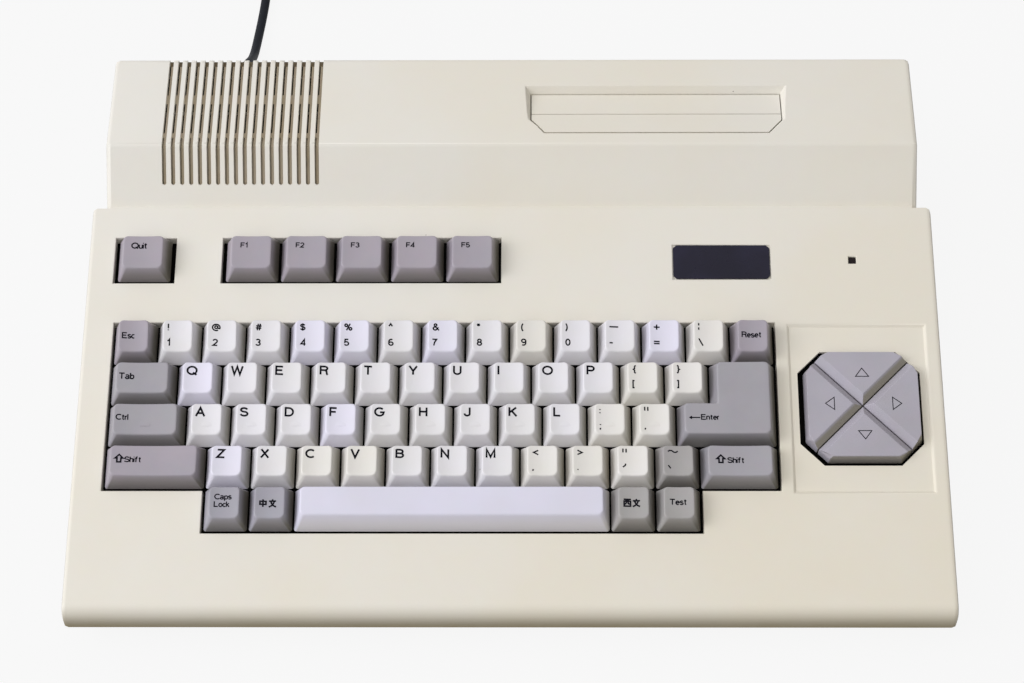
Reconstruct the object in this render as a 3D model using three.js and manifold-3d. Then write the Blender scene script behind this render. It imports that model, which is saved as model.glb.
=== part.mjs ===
// Vintage home computer. A cream case in two halves carries a sloping keyboard deck, a cursor pad and
// a raised rear housing with vents and a cartridge slot, and a mains lead leaves it at the back.
// Millimetres. X runs to the right, Y to the back and Z up. The origin is on the table, under the
// middle of the case.
import * as THREE from "three";
import { mergeVertices } from "three/addons/utils/BufferGeometryUtils.js";
import Module from "manifold-3d";

const wasm = await Module();
wasm.setup();

// Overall case
const caseWidth = 372;
const caseDepth = 260;
const caseWall = 2.5;
const seamHeight = 13.5;
const deckFrontHeight = 23.3;
const deckSlopeDegrees = 8.5;
const deckDepth = 187.3;
const frontRollRadius = 7;
const edgeRound = 2.2;

// Raised rear housing
const housingWidth = 360.4;
const housingHeight = 67;
const ledgeWidth = 2;
const ledgeDrop = 1.3;
const ridgeSetback = 23.6;
const rearRoundRadius = 2.6;

// Clearances
const seatGap = 0.3;
const cutOverrun = 1;

// Keyboard grid, in the plane of the deck
const keyPitch = 19.05;
const rowUnits = 15;
const keyGap = 0.8;
const wellMargin = 0.9;
const wellSkirtDepth = 5.5;
const wellSkirtWall = 1.6;
const gridCentreX = -29.05;
const spaceRowDistance = 47;

// Key caps
const capFrontHeight = 8.3;
const capRearHeight = 8.9;
const capSideInset = 3;
const capFrontInset = 3.2;
const capRearInset = 1.4;
const capWall = 1.4;
const capSink = 1.5;
const dishDepth = 0.7;
const tabWidth = 5;
const tabThickness = 1.2;
const stemSize = 4.4;
const stemReach = 1;
const spaceFrontInset = 4.6;
const spaceCrown = 0.5;
const spaceStemSpread = 50;

// Function keys
const functionPitch = 24.2;
const functionKeyWidth = 23;
const functionKeyDepth = 19.8;
const functionRowDistance = 163.7;
const functionCentreX = -65.7;
const functionWellWidth = 123;
const functionWellDepth = 22;
const quitCentreX = -161.05;
const quitWellWidth = 27;

// Cursor pad
const padCentreX = 149.9;
const padDistance = 93.6;
const padRecessWidth = 60.4;
const padRecessDepth = 78.3;
const padRecessSink = 1;
const padRecessBevel = 1.2;
const padSize = 51;
const padCorner = 9.5;
const padMargin = 0.8;
const padKeyGap = 0.5;
const padBevel = 3.3;
const padEdgeBevel = 1;
const padShoulderRise = 0.8;
const padTopRise = 3.6;
const padSkirtDrop = 3;
const padStemDistance = 15;

// Keyboard plate and keyboard board under the deck
const plateDrop = 8;
const plateThickness = 1.2;
const plateBorder = 5;
const plateFlange = 1.2;
const keyBoardDrop = 14;
const keyBoardThickness = 1.6;
const plateRearDistance = 180;
const platePostRadius = 3;
const padBoardDepth = 43;

// Badge plate and power lamp
const badgeWidth = 42.4;
const badgeDepth = 16.2;
const badgeThickness = 0.7;
const badgeSink = 0.8;
const badgeCentreX = 92.5;
const badgeDistance = 162.7;
const badgeCorner = 1.4;
const lampSize = 2.8;
const lampSink = 0.6;

// Vents
const ventCount = 18;
const ventPitch = 4;
const ventWidth = 1.9;
const ventCentreX = -120.3;
const ventFaceShare = 0.35;
const ventRearDrop = 16;
const ventRibDepth = 3;
const ventRibShares = [
  [0.12, 0.2],
  [0.42, 0.57],
  [0.84, 0.97],
];

// Cartridge slot, its recess and its two doors
const slotCentreX = 64.9;
const slotWidth = 112.4;
const slotRearY = 111.4;
const slotFrontY = 87.2;
const slotSplitY = 98.8;
const slotCornerX = 6.1;
const slotCornerY = 7.8;
const recessSink = 3.3;
const recessBevel = 2.4;
const tubThickness = 2.7;
const doorThickness = 1.5;
const doorGap = 0.4;
const doorSplitGap = 0.6;
const pivotRadius = 1.2;
const pivotClearance = 0.2;
const knuckleRadius = 1.9;
const knuckleWidth = 4;
const guideWall = 2;
const guideDrop = 26.8;

// Rear socket bay
const bayLeft = -75;
const bayRight = 165;
const bayDepth = 10;
const bayBottom = 16.5;
const bayHeight = 21;
const bayWall = 2;

// Main board and what stands on it
const boardLeft = -108;
const boardRight = 172;
const boardFront = -24;
const boardRear = 113;
const boardHeight = 10;
const boardThickness = 1.6;
const chipHeight = 4;
const chipWidth = 14;
const longChip = 52;
const shortChip = 20;

// Feet, screw bosses and board posts
const footRadius = 8;
const footHeight = 3;
const footSeat = 0.6;
const footInset = 26;
const lowerTaper = 6.5;
const lipHeight = 1.4;
const lipWall = 1.2;
const bossRadius = 4;
const bossInset = 14;
const rearBossInset = 8.3;
const boardPostRadius = 3;

// Sockets. Those in the rear bay go from left to right, and the joystick sockets face the right
const jackRadius = 4.2;
const jackReach = 8;
const jackSpacing = 16;
const socketBodyDepth = 16;
const socketBodyHeight = 18;
const rfX = -62;
const rfWidth = 26;
const rfDepth = 40;
const videoX = -40;
const tapeRadius = 7;
const tapeMouthRadius = 5.2;
const tapeMouthDepth = 3;
const printerX = 66;
const printerWidth = 46;
const printerHeight = 11;
const printerDepth = 6;
const printerMouth = [36, 6];
const printerMouthDepth = 5;
const joystickWidth = 30.8;
const joystickHeight = 12.5;
const joystickDepth = 11;
const joystickShell = 1;
const joystickMouth = [17, 8.4];
const joystickMouthDepth = 6;
const joystickFirstY = 3;
const joystickSpacing = 32.5;

// Power switch
const switchX = 142;
const switchWidth = 21;
const switchHeight = 17;
const switchDepth = 12;
const switchFrame = 1.5;
const rockerWidth = 15.6;
const rockerHeight = 12;
const rockerDepth = 7;
const rockerTiltDegrees = 9;
const rockerPinReach = 1.2;

// Cartridge connector, transformer and heat sink
const connectorLength = 84;
const connectorWidth = 11;
const connectorHeight = 15;
const connectorSlot = [72, 2.4, 9];
const transformerX = -139;
const transformerY = 84;
const transformerCore = [58, 24, 48];
const transformerWinding = [36, 48, 32];
const transformerFoot = [18, 68, 2.5];
const heatSinkX = -92;
const heatSinkY = 94;
const heatSinkWidth = 26;
const heatSinkLength = 36;
const heatSinkHeight = 34;
const heatSinkFins = 6;
const finThickness = 1.6;
const heatSinkBase = 4;

// Ribbon between the two boards
const ribbonX = -40;
const ribbonWidth = 46;
const ribbonThickness = 1;
const ribbonJog = 12;

// Mains lead. Its free stretch follows the list of points further down
const cordDiameter = 4.4;
const cordSides = 10;
const cordX = -127.9;
const cordExitHeight = 21.8;
const reliefLength = 24;
const reliefFlange = 2;
const reliefFlangeRadius = 6.6;
const reliefNeckRadius = 5;
const reliefTipRadius = 3.2;
const coilX = -122.3;
const coilY = 262;
const coilLayerTurns = 3.5;
const coilMeanRadius = 26.4;
const coilGap = 0.6;
const coilTail = 34;
const plugWidth = 22;
const plugLength = 30;
const plugSleeve = 10;
const plugSleeveRadius = 4;
const plugPinLength = 17;
const plugPinWidth = 6.3;
const plugPinThickness = 1.5;
const plugPinSpacing = 12.7;

// Values worked out from the sizes above
const slope = THREE.MathUtils.degToRad(deckSlopeDegrees);
const frontY = -caseDepth / 2;
const rearY = caseDepth / 2;
const deckRearY = frontY + deckDepth;
const deckTop = (y) => deckFrontHeight + (y - frontY) * Math.tan(slope);
const footY = deckRearY + ledgeWidth;
const footZ = deckTop(deckRearY) - ledgeDrop;
const ridgeY = deckRearY + ridgeSetback;
const faceRise = (housingHeight - footZ) / (ridgeY - footY);
const underSeam = seamHeight - 2 * edgeRound;
const rowDistance = (row) => spaceRowDistance + row * keyPitch;
const gridX = (units) => gridCentreX + (units - rowUnits / 2) * keyPitch;
const boardTop = boardHeight + boardThickness;

// Colours of the moulded plastics and metals
const cream = { color: 0xdcd8ca, roughness: 0.55, metalness: 0 };
const white = { color: 0xd9d8dc, roughness: 0.5, metalness: 0 };
const grey = { color: 0x9b97a0, roughness: 0.5, metalness: 0 };
const black = { color: 0x17181c, roughness: 0.6, metalness: 0 };
const rubber = { color: 0x2a2a2c, roughness: 0.85, metalness: 0 };
const steel = { color: 0xa8abae, roughness: 0.4, metalness: 0.9 };
const boardGreen = { color: 0x2f5a3c, roughness: 0.5, metalness: 0 };
const lampRed = { color: 0x3a0c0c, roughness: 0.2, metalness: 0 };

// A three.js geometry as a solid that can be joined and cut
function solidOf(geometry) {
  const bare = geometry.clone();
  bare.deleteAttribute("normal");
  bare.deleteAttribute("uv");
  const merged = mergeVertices(bare, 1e-4);
  return new wasm.Manifold(
    new wasm.Mesh({
      numProp: 3,
      vertProperties: merged.attributes.position.array,
      triVerts: new Uint32Array(merged.index.array),
    }),
  );
}

function geometryOf(solid) {
  const mesh = solid.getMesh();
  const geometry = new THREE.BufferGeometry();
  geometry.setAttribute("position", new THREE.BufferAttribute(mesh.vertProperties, 3));
  geometry.setIndex(new THREE.BufferAttribute(mesh.triVerts, 1));
  const flat = geometry.toNonIndexed();
  flat.computeVertexNormals();
  return flat;
}

const joined = (solids) => solids.reduce((whole, next) => whole.add(next));
const cutAway = (solid, tools) => tools.reduce((left, tool) => left.subtract(tool), solid);

function shapeOf(points) {
  return new THREE.Shape(points.map(([x, y]) => new THREE.Vector2(x, y)));
}

function extruded(points, length, bevel = {}) {
  const options = { depth: length, bevelEnabled: false, steps: 1, ...bevel };
  return new THREE.ExtrudeGeometry(shapeOf(points), options);
}

// A block between two corners
function block([x0, y0, z0], [x1, y1, z1]) {
  const geometry = new THREE.BoxGeometry(x1 - x0, y1 - y0, z1 - z0);
  return solidOf(geometry.translate((x0 + x1) / 2, (y0 + y1) / 2, (z0 + z1) / 2));
}

// An outline in X and Y, raised from z0 to z1
function raised(points, z0, z1) {
  return solidOf(extruded(points, z1 - z0).translate(0, 0, z0));
}

// An outline in Y and Z, drawn out from x0 to x1
const sideways = new THREE.Matrix4().makeBasis(
  new THREE.Vector3(0, 1, 0),
  new THREE.Vector3(0, 0, 1),
  new THREE.Vector3(1, 0, 0),
);
function profiled(points, x0, x1) {
  return solidOf(extruded(points, x1 - x0).applyMatrix4(sideways).translate(x0, 0, 0));
}

// The same with its side edges rounded
function roundedProfile(points, width, round) {
  const bevel = {
    bevelEnabled: true,
    bevelThickness: round,
    bevelSize: round,
    bevelOffset: -round,
    bevelSegments: 2,
  };
  const geometry = extruded(points, width - 2 * round, bevel).applyMatrix4(sideways);
  return solidOf(geometry.translate(round - width / 2, 0, 0));
}

function cylinder(radius, length, sides, axis, centre) {
  const geometry = new THREE.CylinderGeometry(radius, radius, length, sides);
  if (axis === "x") geometry.rotateZ(Math.PI / 2);
  if (axis === "z") geometry.rotateX(Math.PI / 2);
  return solidOf(geometry.translate(...centre));
}

// A solid through rings of points, all with the same count, from the lowest ring to the highest
function lofted(rings) {
  const count = rings[0].length;
  const positions = rings.flat(2);
  const index = [];
  for (let ring = 0; ring < rings.length - 1; ring += 1) {
    for (let i = 0; i < count; i += 1) {
      const a = ring * count + i;
      const b = ring * count + ((i + 1) % count);
      index.push(a, b, b + count, a, b + count, a + count);
    }
  }
  const outline = rings[0].map(([x, y]) => new THREE.Vector2(x, y));
  const last = (rings.length - 1) * count;
  for (const [a, b, c] of THREE.ShapeUtils.triangulateShape(outline, [])) {
    index.push(a, c, b);
    index.push(last + a, last + b, last + c);
  }
  const geometry = new THREE.BufferGeometry();
  geometry.setAttribute("position", new THREE.Float32BufferAttribute(positions, 3));
  geometry.setIndex(index);
  return solidOf(geometry);
}

const atHeight = (points, z) => points.map(([x, y]) => [x, y, z]);
const rectangle = (x0, y0, x1, y1) => [
  [x0, y0],
  [x1, y0],
  [x1, y1],
  [x0, y1],
];

// Points of a circle's arc, ends included
function arc(centreY, centreZ, radius, from, to, steps) {
  return Array.from({ length: steps + 1 }, (_, i) => {
    const angle = from + ((to - from) * i) / steps;
    return [centreY + radius * Math.cos(angle), centreZ + radius * Math.sin(angle)];
  });
}

const model = new THREE.Group();

// The deck's own group: its X is the case's, its Y runs up the slope from the front plane,
// and its Z leaves the deck's outer face
const deck = new THREE.Group();
deck.position.set(0, frontY, deckFrontHeight);
deck.rotation.x = slope;
model.add(deck);
deck.updateMatrix();
const ontoDeck = (solid) => solid.transform(deck.matrix.elements);

function place(parent, name, solid, finish, position = [0, 0, 0]) {
  const mesh = new THREE.Mesh(geometryOf(solid), new THREE.MeshStandardMaterial(finish));
  mesh.name = name;
  mesh.position.set(...position);
  parent.add(mesh);
  return mesh;
}

// Key layout, as shares of the keys' pitch: each entry is a node's name, the width of its caps, and
// how many caps it joins. Rows count from the space bar's, and the second value is the row's start
const lowRowShares = { left: 2.25, right: 13.25 };
const layoutShares = [
  [
    0,
    lowRowShares.left,
    [
      ["key_caps_lock", 1, 1], ["key_mode_left", 1, 1], ["key_space", 7, 1],
      ["key_mode_right", 1, 1], ["key_test", 1, 1],
    ],
  ],
  [
    1,
    0,
    [
      ["key_shift_left", 2.25, 1], ["keys_z_to_n", 1, 6],
      ["keys_m_to_tilde", 1, 5], ["key_shift_right", 1.75, 1],
    ],
  ],
  [2, 0, [["key_control", 1.75, 1], ["keys_a_to_h", 1, 6], ["keys_j_to_quote", 1, 5]]],
  [3, 0, [["key_tab", 1.5, 1], ["keys_q_to_y", 1, 6], ["keys_u_to_bracket", 1, 6]]],
  [
    4,
    0,
    [
      ["key_escape", 1, 1], ["keys_1_to_7", 1, 7],
      ["keys_8_to_backslash", 1, 6], ["key_reset", 1, 1],
    ],
  ],
];
const enterShares = { left: 12.75, upperLeft: 13.5, right: rowUnits, row: 2 };
const frontPostShares = { left: 1.2, right: 14.2 };
const rearPostShares = { left: 0.6, right: 7.5 };
const whiteNodes = /^keys_|space/;

// Where the stems of all keys pass through the plate, as [x, distance up the deck]
const stemPlaces = [];

// Stems start inside the cap's roof and reach past the plate
const capRest = -capSink;
const stemTip = -(plateDrop + plateThickness + stemReach) - capRest;

function stem(x, y, roof) {
  const half = stemSize / 2;
  return block([x - half, y - half, stemTip], [x + half, y + half, roof]);
}

// A key cap with tapered sides and a dished top, hollow below. Its base is centred at the origin
function keyCap(width, depth, { frontInset = capFrontInset, dish = dishDepth, stems = [0] } = {}) {
  const [w, d] = [width / 2, depth / 2];
  const topHalf = w - capSideInset;
  const frontEdge = -d + frontInset;
  const rearEdge = d - capRearInset;
  const across = [-1, -1 / 3, 1 / 3, 1];
  const dip = (share) => (Math.abs(share) < 1 ? dish : 0);
  const positions = [
    ...atHeight(rectangle(-w, -d, w, d), 0),
    ...across.map((share) => [share * topHalf, frontEdge, capFrontHeight - dip(share)]),
    ...across.map((share) => [share * topHalf, rearEdge, capRearHeight - dip(share)]),
  ].flat();
  const index = [
    [0, 2, 1], [0, 3, 2],
    [0, 5, 4], [0, 1, 5], [1, 6, 5], [1, 7, 6],
    [1, 2, 11], [1, 11, 7],
    [2, 10, 11], [2, 3, 10], [3, 9, 10], [3, 8, 9],
    [3, 0, 4], [3, 4, 8],
    [4, 5, 9], [4, 9, 8], [5, 6, 10], [5, 10, 9], [6, 7, 11], [6, 11, 10],
  ].flat();
  const outside = new THREE.BufferGeometry();
  outside.setAttribute("position", new THREE.Float32BufferAttribute(positions, 3));
  outside.setIndex(index);
  const roof = capFrontHeight - Math.max(dish, 0) - capWall;
  const hollow = lofted([
    atHeight(rectangle(-w + capWall, -d + capWall, w - capWall, d - capWall), -cutOverrun),
    atHeight(
      rectangle(-topHalf + capWall, frontEdge + capWall, topHalf - capWall, rearEdge - capWall),
      roof,
    ),
  ]);
  const cap = solidOf(outside).subtract(hollow);
  return joined([cap, ...stems.map((x) => stem(x, 0, roof + capWall / 2))]);
}

function addKeys() {
  for (const [row, start, entries] of layoutShares) {
    let units = start;
    for (const [name, width, count] of entries) {
      const middle = gridX(units + (width * count) / 2);
      const isSpace = name === "key_space";
      const stems = isSpace ? [-spaceStemSpread, 0, spaceStemSpread] : [0];
      const options = isSpace ? { frontInset: spaceFrontInset, dish: -spaceCrown, stems } : { stems };
      const cap = keyCap(width * keyPitch - keyGap, keyPitch - keyGap, options);
      const parts = [];
      for (let i = 0; i < count; i += 1) {
        const x = (i - (count - 1) / 2) * width * keyPitch;
        parts.push(cap.translate([x, 0, 0]));
        stems.forEach((offset) => stemPlaces.push([middle + x + offset, rowDistance(row)]));
        if (i > 0) {
          const seam = x - (width * keyPitch) / 2;
          const reach = keyGap / 2 + capWall / 2;
          parts.push(
            block([seam - reach, -tabWidth / 2, 0], [seam + reach, tabWidth / 2, tabThickness]),
          );
        }
      }
      const finish = whiteNodes.test(name) ? white : grey;
      place(deck, name, joined(parts), finish, [middle, rowDistance(row), capRest]);
      units += width * count;
    }
  }
}

// The enter key covers the ends of two rows, in an L
function addEnterKey() {
  const middleX = gridX((enterShares.left + enterShares.right) / 2);
  const middleY = (rowDistance(enterShares.row) + rowDistance(enterShares.row + 1)) / 2;
  const half = keyGap / 2;
  const outline = (side, front, rear) => {
    const left = gridX(enterShares.left) - middleX + half + side;
    const upperLeft = gridX(enterShares.upperLeft) - middleX + half + side;
    const right = gridX(enterShares.right) - middleX - half - side;
    const low = -keyPitch + half + front;
    const step = -half - rear;
    const high = keyPitch - half - rear;
    return [[left, low], [right, low], [right, high], [upperLeft, high], [upperLeft, step], [left, step]];
  };
  const base = outline(0, 0, 0);
  const top = outline(capSideInset, capFrontInset, capRearInset);
  const roof = capFrontHeight - capWall;
  const outside = lofted([atHeight(base, 0), atHeight(top, capFrontHeight)]);
  const hollow = lofted([
    atHeight(outline(capWall, capWall, capWall), -cutOverrun),
    atHeight(outline(capSideInset + capWall, capFrontInset + capWall, capRearInset + capWall), roof),
  ]);
  const stemX = gridX(enterShares.upperLeft + (enterShares.right - enterShares.upperLeft) / 2) - middleX;
  stemPlaces.push([middleX + stemX, middleY]);
  const solid = outside.subtract(hollow).add(stem(stemX, 0, roof + capWall / 2));
  place(deck, "key_enter", solid, grey, [middleX, middleY, capRest]);
}

function addFunctionKeys() {
  const cap = keyCap(functionKeyWidth, functionKeyDepth);
  const places = [["key_quit", quitCentreX]];
  for (let i = 0; i < 5; i += 1) {
    places.push([`key_f${i + 1}`, functionCentreX + (i - 2) * functionPitch]);
  }
  for (const [name, x] of places) {
    stemPlaces.push([x, functionRowDistance]);
    place(deck, name, cap, grey, [x, functionRowDistance, capRest]);
  }
}

// One quarter of the cursor pad, pointing away from the pad's centre along +Y, between its
// diagonals. The inset draws in the diagonal sides, and the edge inset the outer ones
function padQuarter(inset, edgeInset) {
  const half = padSize / 2 - edgeInset;
  const cornerMiddle = padSize / 2 - padCorner / 2 - edgeInset / 2;
  const diagonal = inset * Math.SQRT1_2;
  const tip = inset * Math.SQRT2;
  const outer = padSize / 2 - padCorner - edgeInset / 2 - (inset > padKeyGap ? diagonal / 2 : 0);
  return [
    [0, tip],
    [cornerMiddle - diagonal, cornerMiddle + diagonal],
    [outer, half],
    [-outer, half],
    [-cornerMiddle + diagonal, cornerMiddle + diagonal],
  ];
}

const padRest = -padRecessSink;

function addCursorPad() {
  const low = padQuarter(padKeyGap / 2, 0);
  const shoulder = padQuarter(padKeyGap / 2, padEdgeBevel / 2);
  const top = padQuarter(padBevel, padEdgeBevel);
  const outside = lofted([
    atHeight(low, -padSkirtDrop),
    atHeight(shoulder, padShoulderRise),
    atHeight(top, padTopRise),
  ]);
  const hollow = lofted([
    atHeight(padQuarter(padKeyGap + capWall, capWall), -padSkirtDrop - cutOverrun),
    atHeight(padQuarter(padBevel + capWall, padEdgeBevel + capWall), padTopRise - capWall),
  ]);
  const tip = -(plateDrop + plateThickness + stemReach) - padRest;
  const half = stemSize / 2;
  const post = block(
    [-half, padStemDistance - half, tip],
    [half, padStemDistance + half, padTopRise - capWall / 2],
  );
  const quarter = outside.subtract(hollow).add(post);
  const turns = [["cursor_up", 0], ["cursor_left", 90], ["cursor_down", 180], ["cursor_right", 270]];
  for (const [name, degrees] of turns) {
    const angle = THREE.MathUtils.degToRad(degrees);
    const stemX = padCentreX - padStemDistance * Math.sin(angle);
    const stemY = padDistance + padStemDistance * Math.cos(angle);
    stemPlaces.push([stemX, stemY]);
    place(deck, name, quarter.rotate([0, 0, degrees]), grey, [padCentreX, padDistance, padRest]);
  }
}

// Outline of the well round the main keys, grown by a margin, as [x, distance up the deck]
function mainWell(margin) {
  const left = gridX(0) - margin;
  const right = gridX(rowUnits) + margin;
  const lowLeft = gridX(lowRowShares.left) - margin;
  const lowRight = gridX(lowRowShares.right) + margin;
  const front = rowDistance(0) - keyPitch / 2 - margin;
  const step = rowDistance(1) - keyPitch / 2 - margin;
  const rear = rowDistance(4) + keyPitch / 2 + margin;
  return [
    [lowLeft, front], [lowRight, front], [lowRight, step], [right, step],
    [right, rear], [left, rear], [left, step], [lowLeft, step],
  ];
}

function centredWell(x, y, width, depth, grow = 0) {
  const [w, d] = [width / 2 + grow, depth / 2 + grow];
  return rectangle(x - w, y - d, x + w, y + d);
}

const functionWell = (grow) =>
  centredWell(functionCentreX, functionRowDistance, functionWellWidth, functionWellDepth, grow);
const quitWell = (grow) =>
  centredWell(quitCentreX, functionRowDistance, quitWellWidth, functionWellDepth, grow);

// Places of the posts that hold the keyboard plate, as [x, distance up the deck]
function platePosts() {
  const beside = wellMargin + wellSkirtWall + platePostRadius / 2;
  const front = rowDistance(1) - keyPitch / 2 - beside;
  const behind = (rowDistance(4) + keyPitch / 2 + functionRowDistance - functionWellDepth / 2) / 2;
  const padSide = padCentreX - padRecessWidth / 2;
  return [
    [gridX(frontPostShares.left), front], [gridX(frontPostShares.right), front],
    [gridX(rearPostShares.left), behind], [gridX(rearPostShares.right), behind], [padSide, behind],
  ];
}

// Outer profile of the deck half and of the rear housing, as [y, z]. The inset moves every face in
function deckProfile(inset) {
  const front = frontY + inset;
  const rear = deckRearY - inset;
  const drop = inset / Math.cos(slope);
  const radius = Math.max(frontRollRadius - inset, inset / 2);
  const turn = Math.PI / 2 - slope;
  const tangent = radius * Math.tan(turn / 2);
  const cornerZ = deckTop(front) - drop;
  const roll = arc(front + radius, cornerZ - tangent, radius, Math.PI, Math.PI - turn, 5);
  const bottom = underSeam - inset;
  return [[front, bottom], ...roll, [rear, deckTop(rear) - drop], [rear, bottom]];
}

function housingProfile(inset) {
  const top = housingHeight - inset;
  const bottom = underSeam - inset;
  const drop = inset * Math.hypot(1, faceRise);
  const faceY = (z) => footY + (z + drop - footZ) / faceRise;
  const rear = rearY - inset;
  const radius = Math.max(rearRoundRadius - inset, inset / 5);
  const round = arc(rear - radius, top - radius, radius, 0, Math.PI / 2, 3);
  return [[faceY(bottom), bottom], [rear, bottom], ...round, [faceY(top), top]];
}

function caseShell() {
  const shelf = block(
    [-housingWidth / 2 + edgeRound, deckRearY - caseWall, underSeam],
    [housingWidth / 2 - edgeRound, footY + ledgeWidth, footZ],
  );
  const outside = joined([
    roundedProfile(deckProfile(0), caseWidth, edgeRound),
    roundedProfile(housingProfile(0), housingWidth, edgeRound),
    shelf,
  ]);
  const deckHalf = caseWidth / 2 - caseWall;
  const housingHalf = housingWidth / 2 - caseWall;
  const inside = profiled(deckProfile(caseWall), -deckHalf, deckHalf).add(
    profiled(housingProfile(caseWall), -housingHalf, housingHalf),
  );
  return outside.subtract(inside);
}

// Everything below the seam goes from the upper case
function belowSeam() {
  return block([-caseWidth, -caseDepth, -caseDepth], [caseWidth, caseDepth, seamHeight]);
}

// Posts are cut from the upper case's underside down to a height, on the places given
const bossPlaces = [
  [-caseWidth / 2 + bossInset, frontY + bossInset],
  [0, frontY + bossInset],
  [caseWidth / 2 - bossInset, frontY + bossInset],
  [-housingWidth / 2 + rearBossInset, rearY - rearBossInset],
  [housingWidth / 2 - rearBossInset, rearY - rearBossInset],
];

function upperBosses() {
  return bossPlaces.map(([x, y]) => {
    const top = y < deckRearY ? deckTop(y - bossRadius) - caseWall / 2 : housingHeight - caseWall / 2;
    const bottom = seamHeight + seatGap;
    return cylinder(bossRadius, top - bottom, 12, "z", [x, y, (top + bottom) / 2]);
  });
}

function deckAdditions() {
  const skirt = (outline) => raised(outline, -wellSkirtDepth, -caseWall / 2);
  const postTop = -caseWall / 2;
  const postBottom = -plateDrop + seatGap;
  const posts = platePosts().map(([x, y]) =>
    cylinder(platePostRadius, postTop - postBottom, 10, "z", [x, y, (postTop + postBottom) / 2]),
  );
  return [
    skirt(mainWell(wellMargin + wellSkirtWall)),
    skirt(functionWell(wellSkirtWall)),
    skirt(quitWell(wellSkirtWall)),
    ...posts,
  ].map(ontoDeck);
}

function octagon(half, corner) {
  const inner = half - corner;
  return [
    [inner, -half], [half, -inner], [half, inner], [inner, half],
    [-inner, half], [-half, inner], [-half, -inner], [-inner, -half],
  ];
}

function deckCuts() {
  const through = (outline) => raised(outline, -wellSkirtDepth - cutOverrun, cutOverrun);
  const shift = (points, x, y) => points.map(([a, b]) => [a + x, b + y]);
  const recess = (grow) => centredWell(padCentreX, padDistance, padRecessWidth, padRecessDepth, grow);
  const slopeOut = (padRecessBevel * cutOverrun) / padRecessSink;
  const padHole = octagon(padSize / 2 + padMargin, padCorner + padMargin / 2);
  const lampHalf = lampSize / 2 + seatGap;
  const badge = centredWell(badgeCentreX, badgeDistance, badgeWidth, badgeDepth, seatGap);
  return [
    through(mainWell(wellMargin)),
    through(functionWell(0)),
    through(quitWell(0)),
    through(shift(padHole, padCentreX, padDistance)),
    lofted([
      atHeight(recess(-padRecessBevel), -padRecessSink),
      atHeight(recess(slopeOut), cutOverrun),
    ]),
    raised(badge, -badgeSink, cutOverrun),
    through(centredWell(padCentreX, functionRowDistance, lampHalf, lampHalf, lampHalf / 2)),
  ].map(ontoDeck);
}

// Vents run from the housing's front face over the top and down the rear wall
function ventPath(offset) {
  const startY = footY + (ridgeY - footY) * ventFaceShare;
  const startZ = footZ + (housingHeight - footZ) * ventFaceShare;
  const faceLength = Math.hypot(1, faceRise);
  const [normalY, normalZ] = [-faceRise / faceLength, 1 / faceLength];
  const top = housingHeight + offset;
  const ridge = ridgeY + (top - housingHeight - offset * faceLength) / faceRise;
  return [
    [startY + offset * normalY, startZ + offset * normalZ],
    [ridge, top],
    [rearY + offset, top],
    [rearY + offset, housingHeight - ventRearDrop],
  ];
}

function ventCuts() {
  const outline = [...ventPath(-caseWall - seatGap).reverse(), ...ventPath(cutOverrun)];
  return Array.from({ length: ventCount }, (_, i) => {
    const x = ventCentreX + (i - (ventCount - 1) / 2) * ventPitch;
    return profiled(outline, x - ventWidth / 2, x + ventWidth / 2);
  });
}

function ventRibs() {
  const half = (ventCount * ventPitch) / 2;
  const top = housingHeight - caseWall + seatGap;
  return ventRibShares.map(([from, to]) =>
    block(
      [ventCentreX - half, ridgeY + (rearY - ridgeY) * from, top - ventRibDepth],
      [ventCentreX + half, ridgeY + (rearY - ridgeY) * to, top],
    ),
  );
}

// Cartridge slot. The opening is a rectangle with its two front corners cut off
function slotOutline(grow) {
  const [left, right] = [slotCentreX - slotWidth / 2 - grow, slotCentreX + slotWidth / 2 + grow];
  const [front, rear] = [slotFrontY - grow, slotRearY + grow];
  const turn = grow / 2;
  return [
    [left + slotCornerX + turn, front], [right - slotCornerX - turn, front],
    [right, front + slotCornerY + turn], [right, rear],
    [left, rear], [left, front + slotCornerY + turn],
  ];
}

const rampAt = (y) => housingHeight - (recessSink * (y - slotFrontY)) / (slotRearY - slotFrontY);

// The recess is deepest at the rear, and its floor rises to the housing's top at the front
function slotRecess() {
  const lean = (recessBevel * cutOverrun) / recessSink;
  const grow = recessBevel + lean;
  const low = slotOutline(0).map(([x, y]) => [x, y, rampAt(y)]);
  const high = slotOutline(0).map(([x, y]) => {
    const share = (y - slotFrontY) / (slotRearY - slotFrontY);
    const side = Math.sign(x - slotCentreX) * grow;
    return [
      x + side * Math.min(1, share * 2),
      y + (y > slotSplitY ? grow : 0),
      housingHeight + cutOverrun,
    ];
  });
  return lofted([low, high]);
}

// Both doors turn on axes outside the opening, below the case's roof, so that they hang clear of it
const rearPivotDrop = recessSink + tubThickness + knuckleRadius + seatGap;
const rearPivot = [
  slotRearY + rearPivotDrop - recessSink,
  housingHeight - rearPivotDrop,
];
const frontPivotDrop = caseWall + knuckleRadius + seatGap;
const frontPivot = [slotFrontY - frontPivotDrop, housingHeight - frontPivotDrop];
const guideInner = slotWidth / 2 + doorGap;

const guideOuter = guideInner + guideWall;
const tubBottom = housingHeight - recessSink - tubThickness;

// The slot's thickened rim, on the inner side of the housing's top
function slotRim() {
  return block(
    [slotCentreX - guideOuter, slotSplitY - recessBevel, tubBottom],
    [slotCentreX + guideOuter, slotRearY + recessBevel * 2, housingHeight - caseWall / 2],
  );
}

const pivotBores = () =>
  [rearPivot, frontPivot].map(([y, z]) =>
    cylinder(pivotRadius + pivotClearance, slotWidth + caseWall * 8, 12, "x", [slotCentreX, y, z]),
  );

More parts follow.
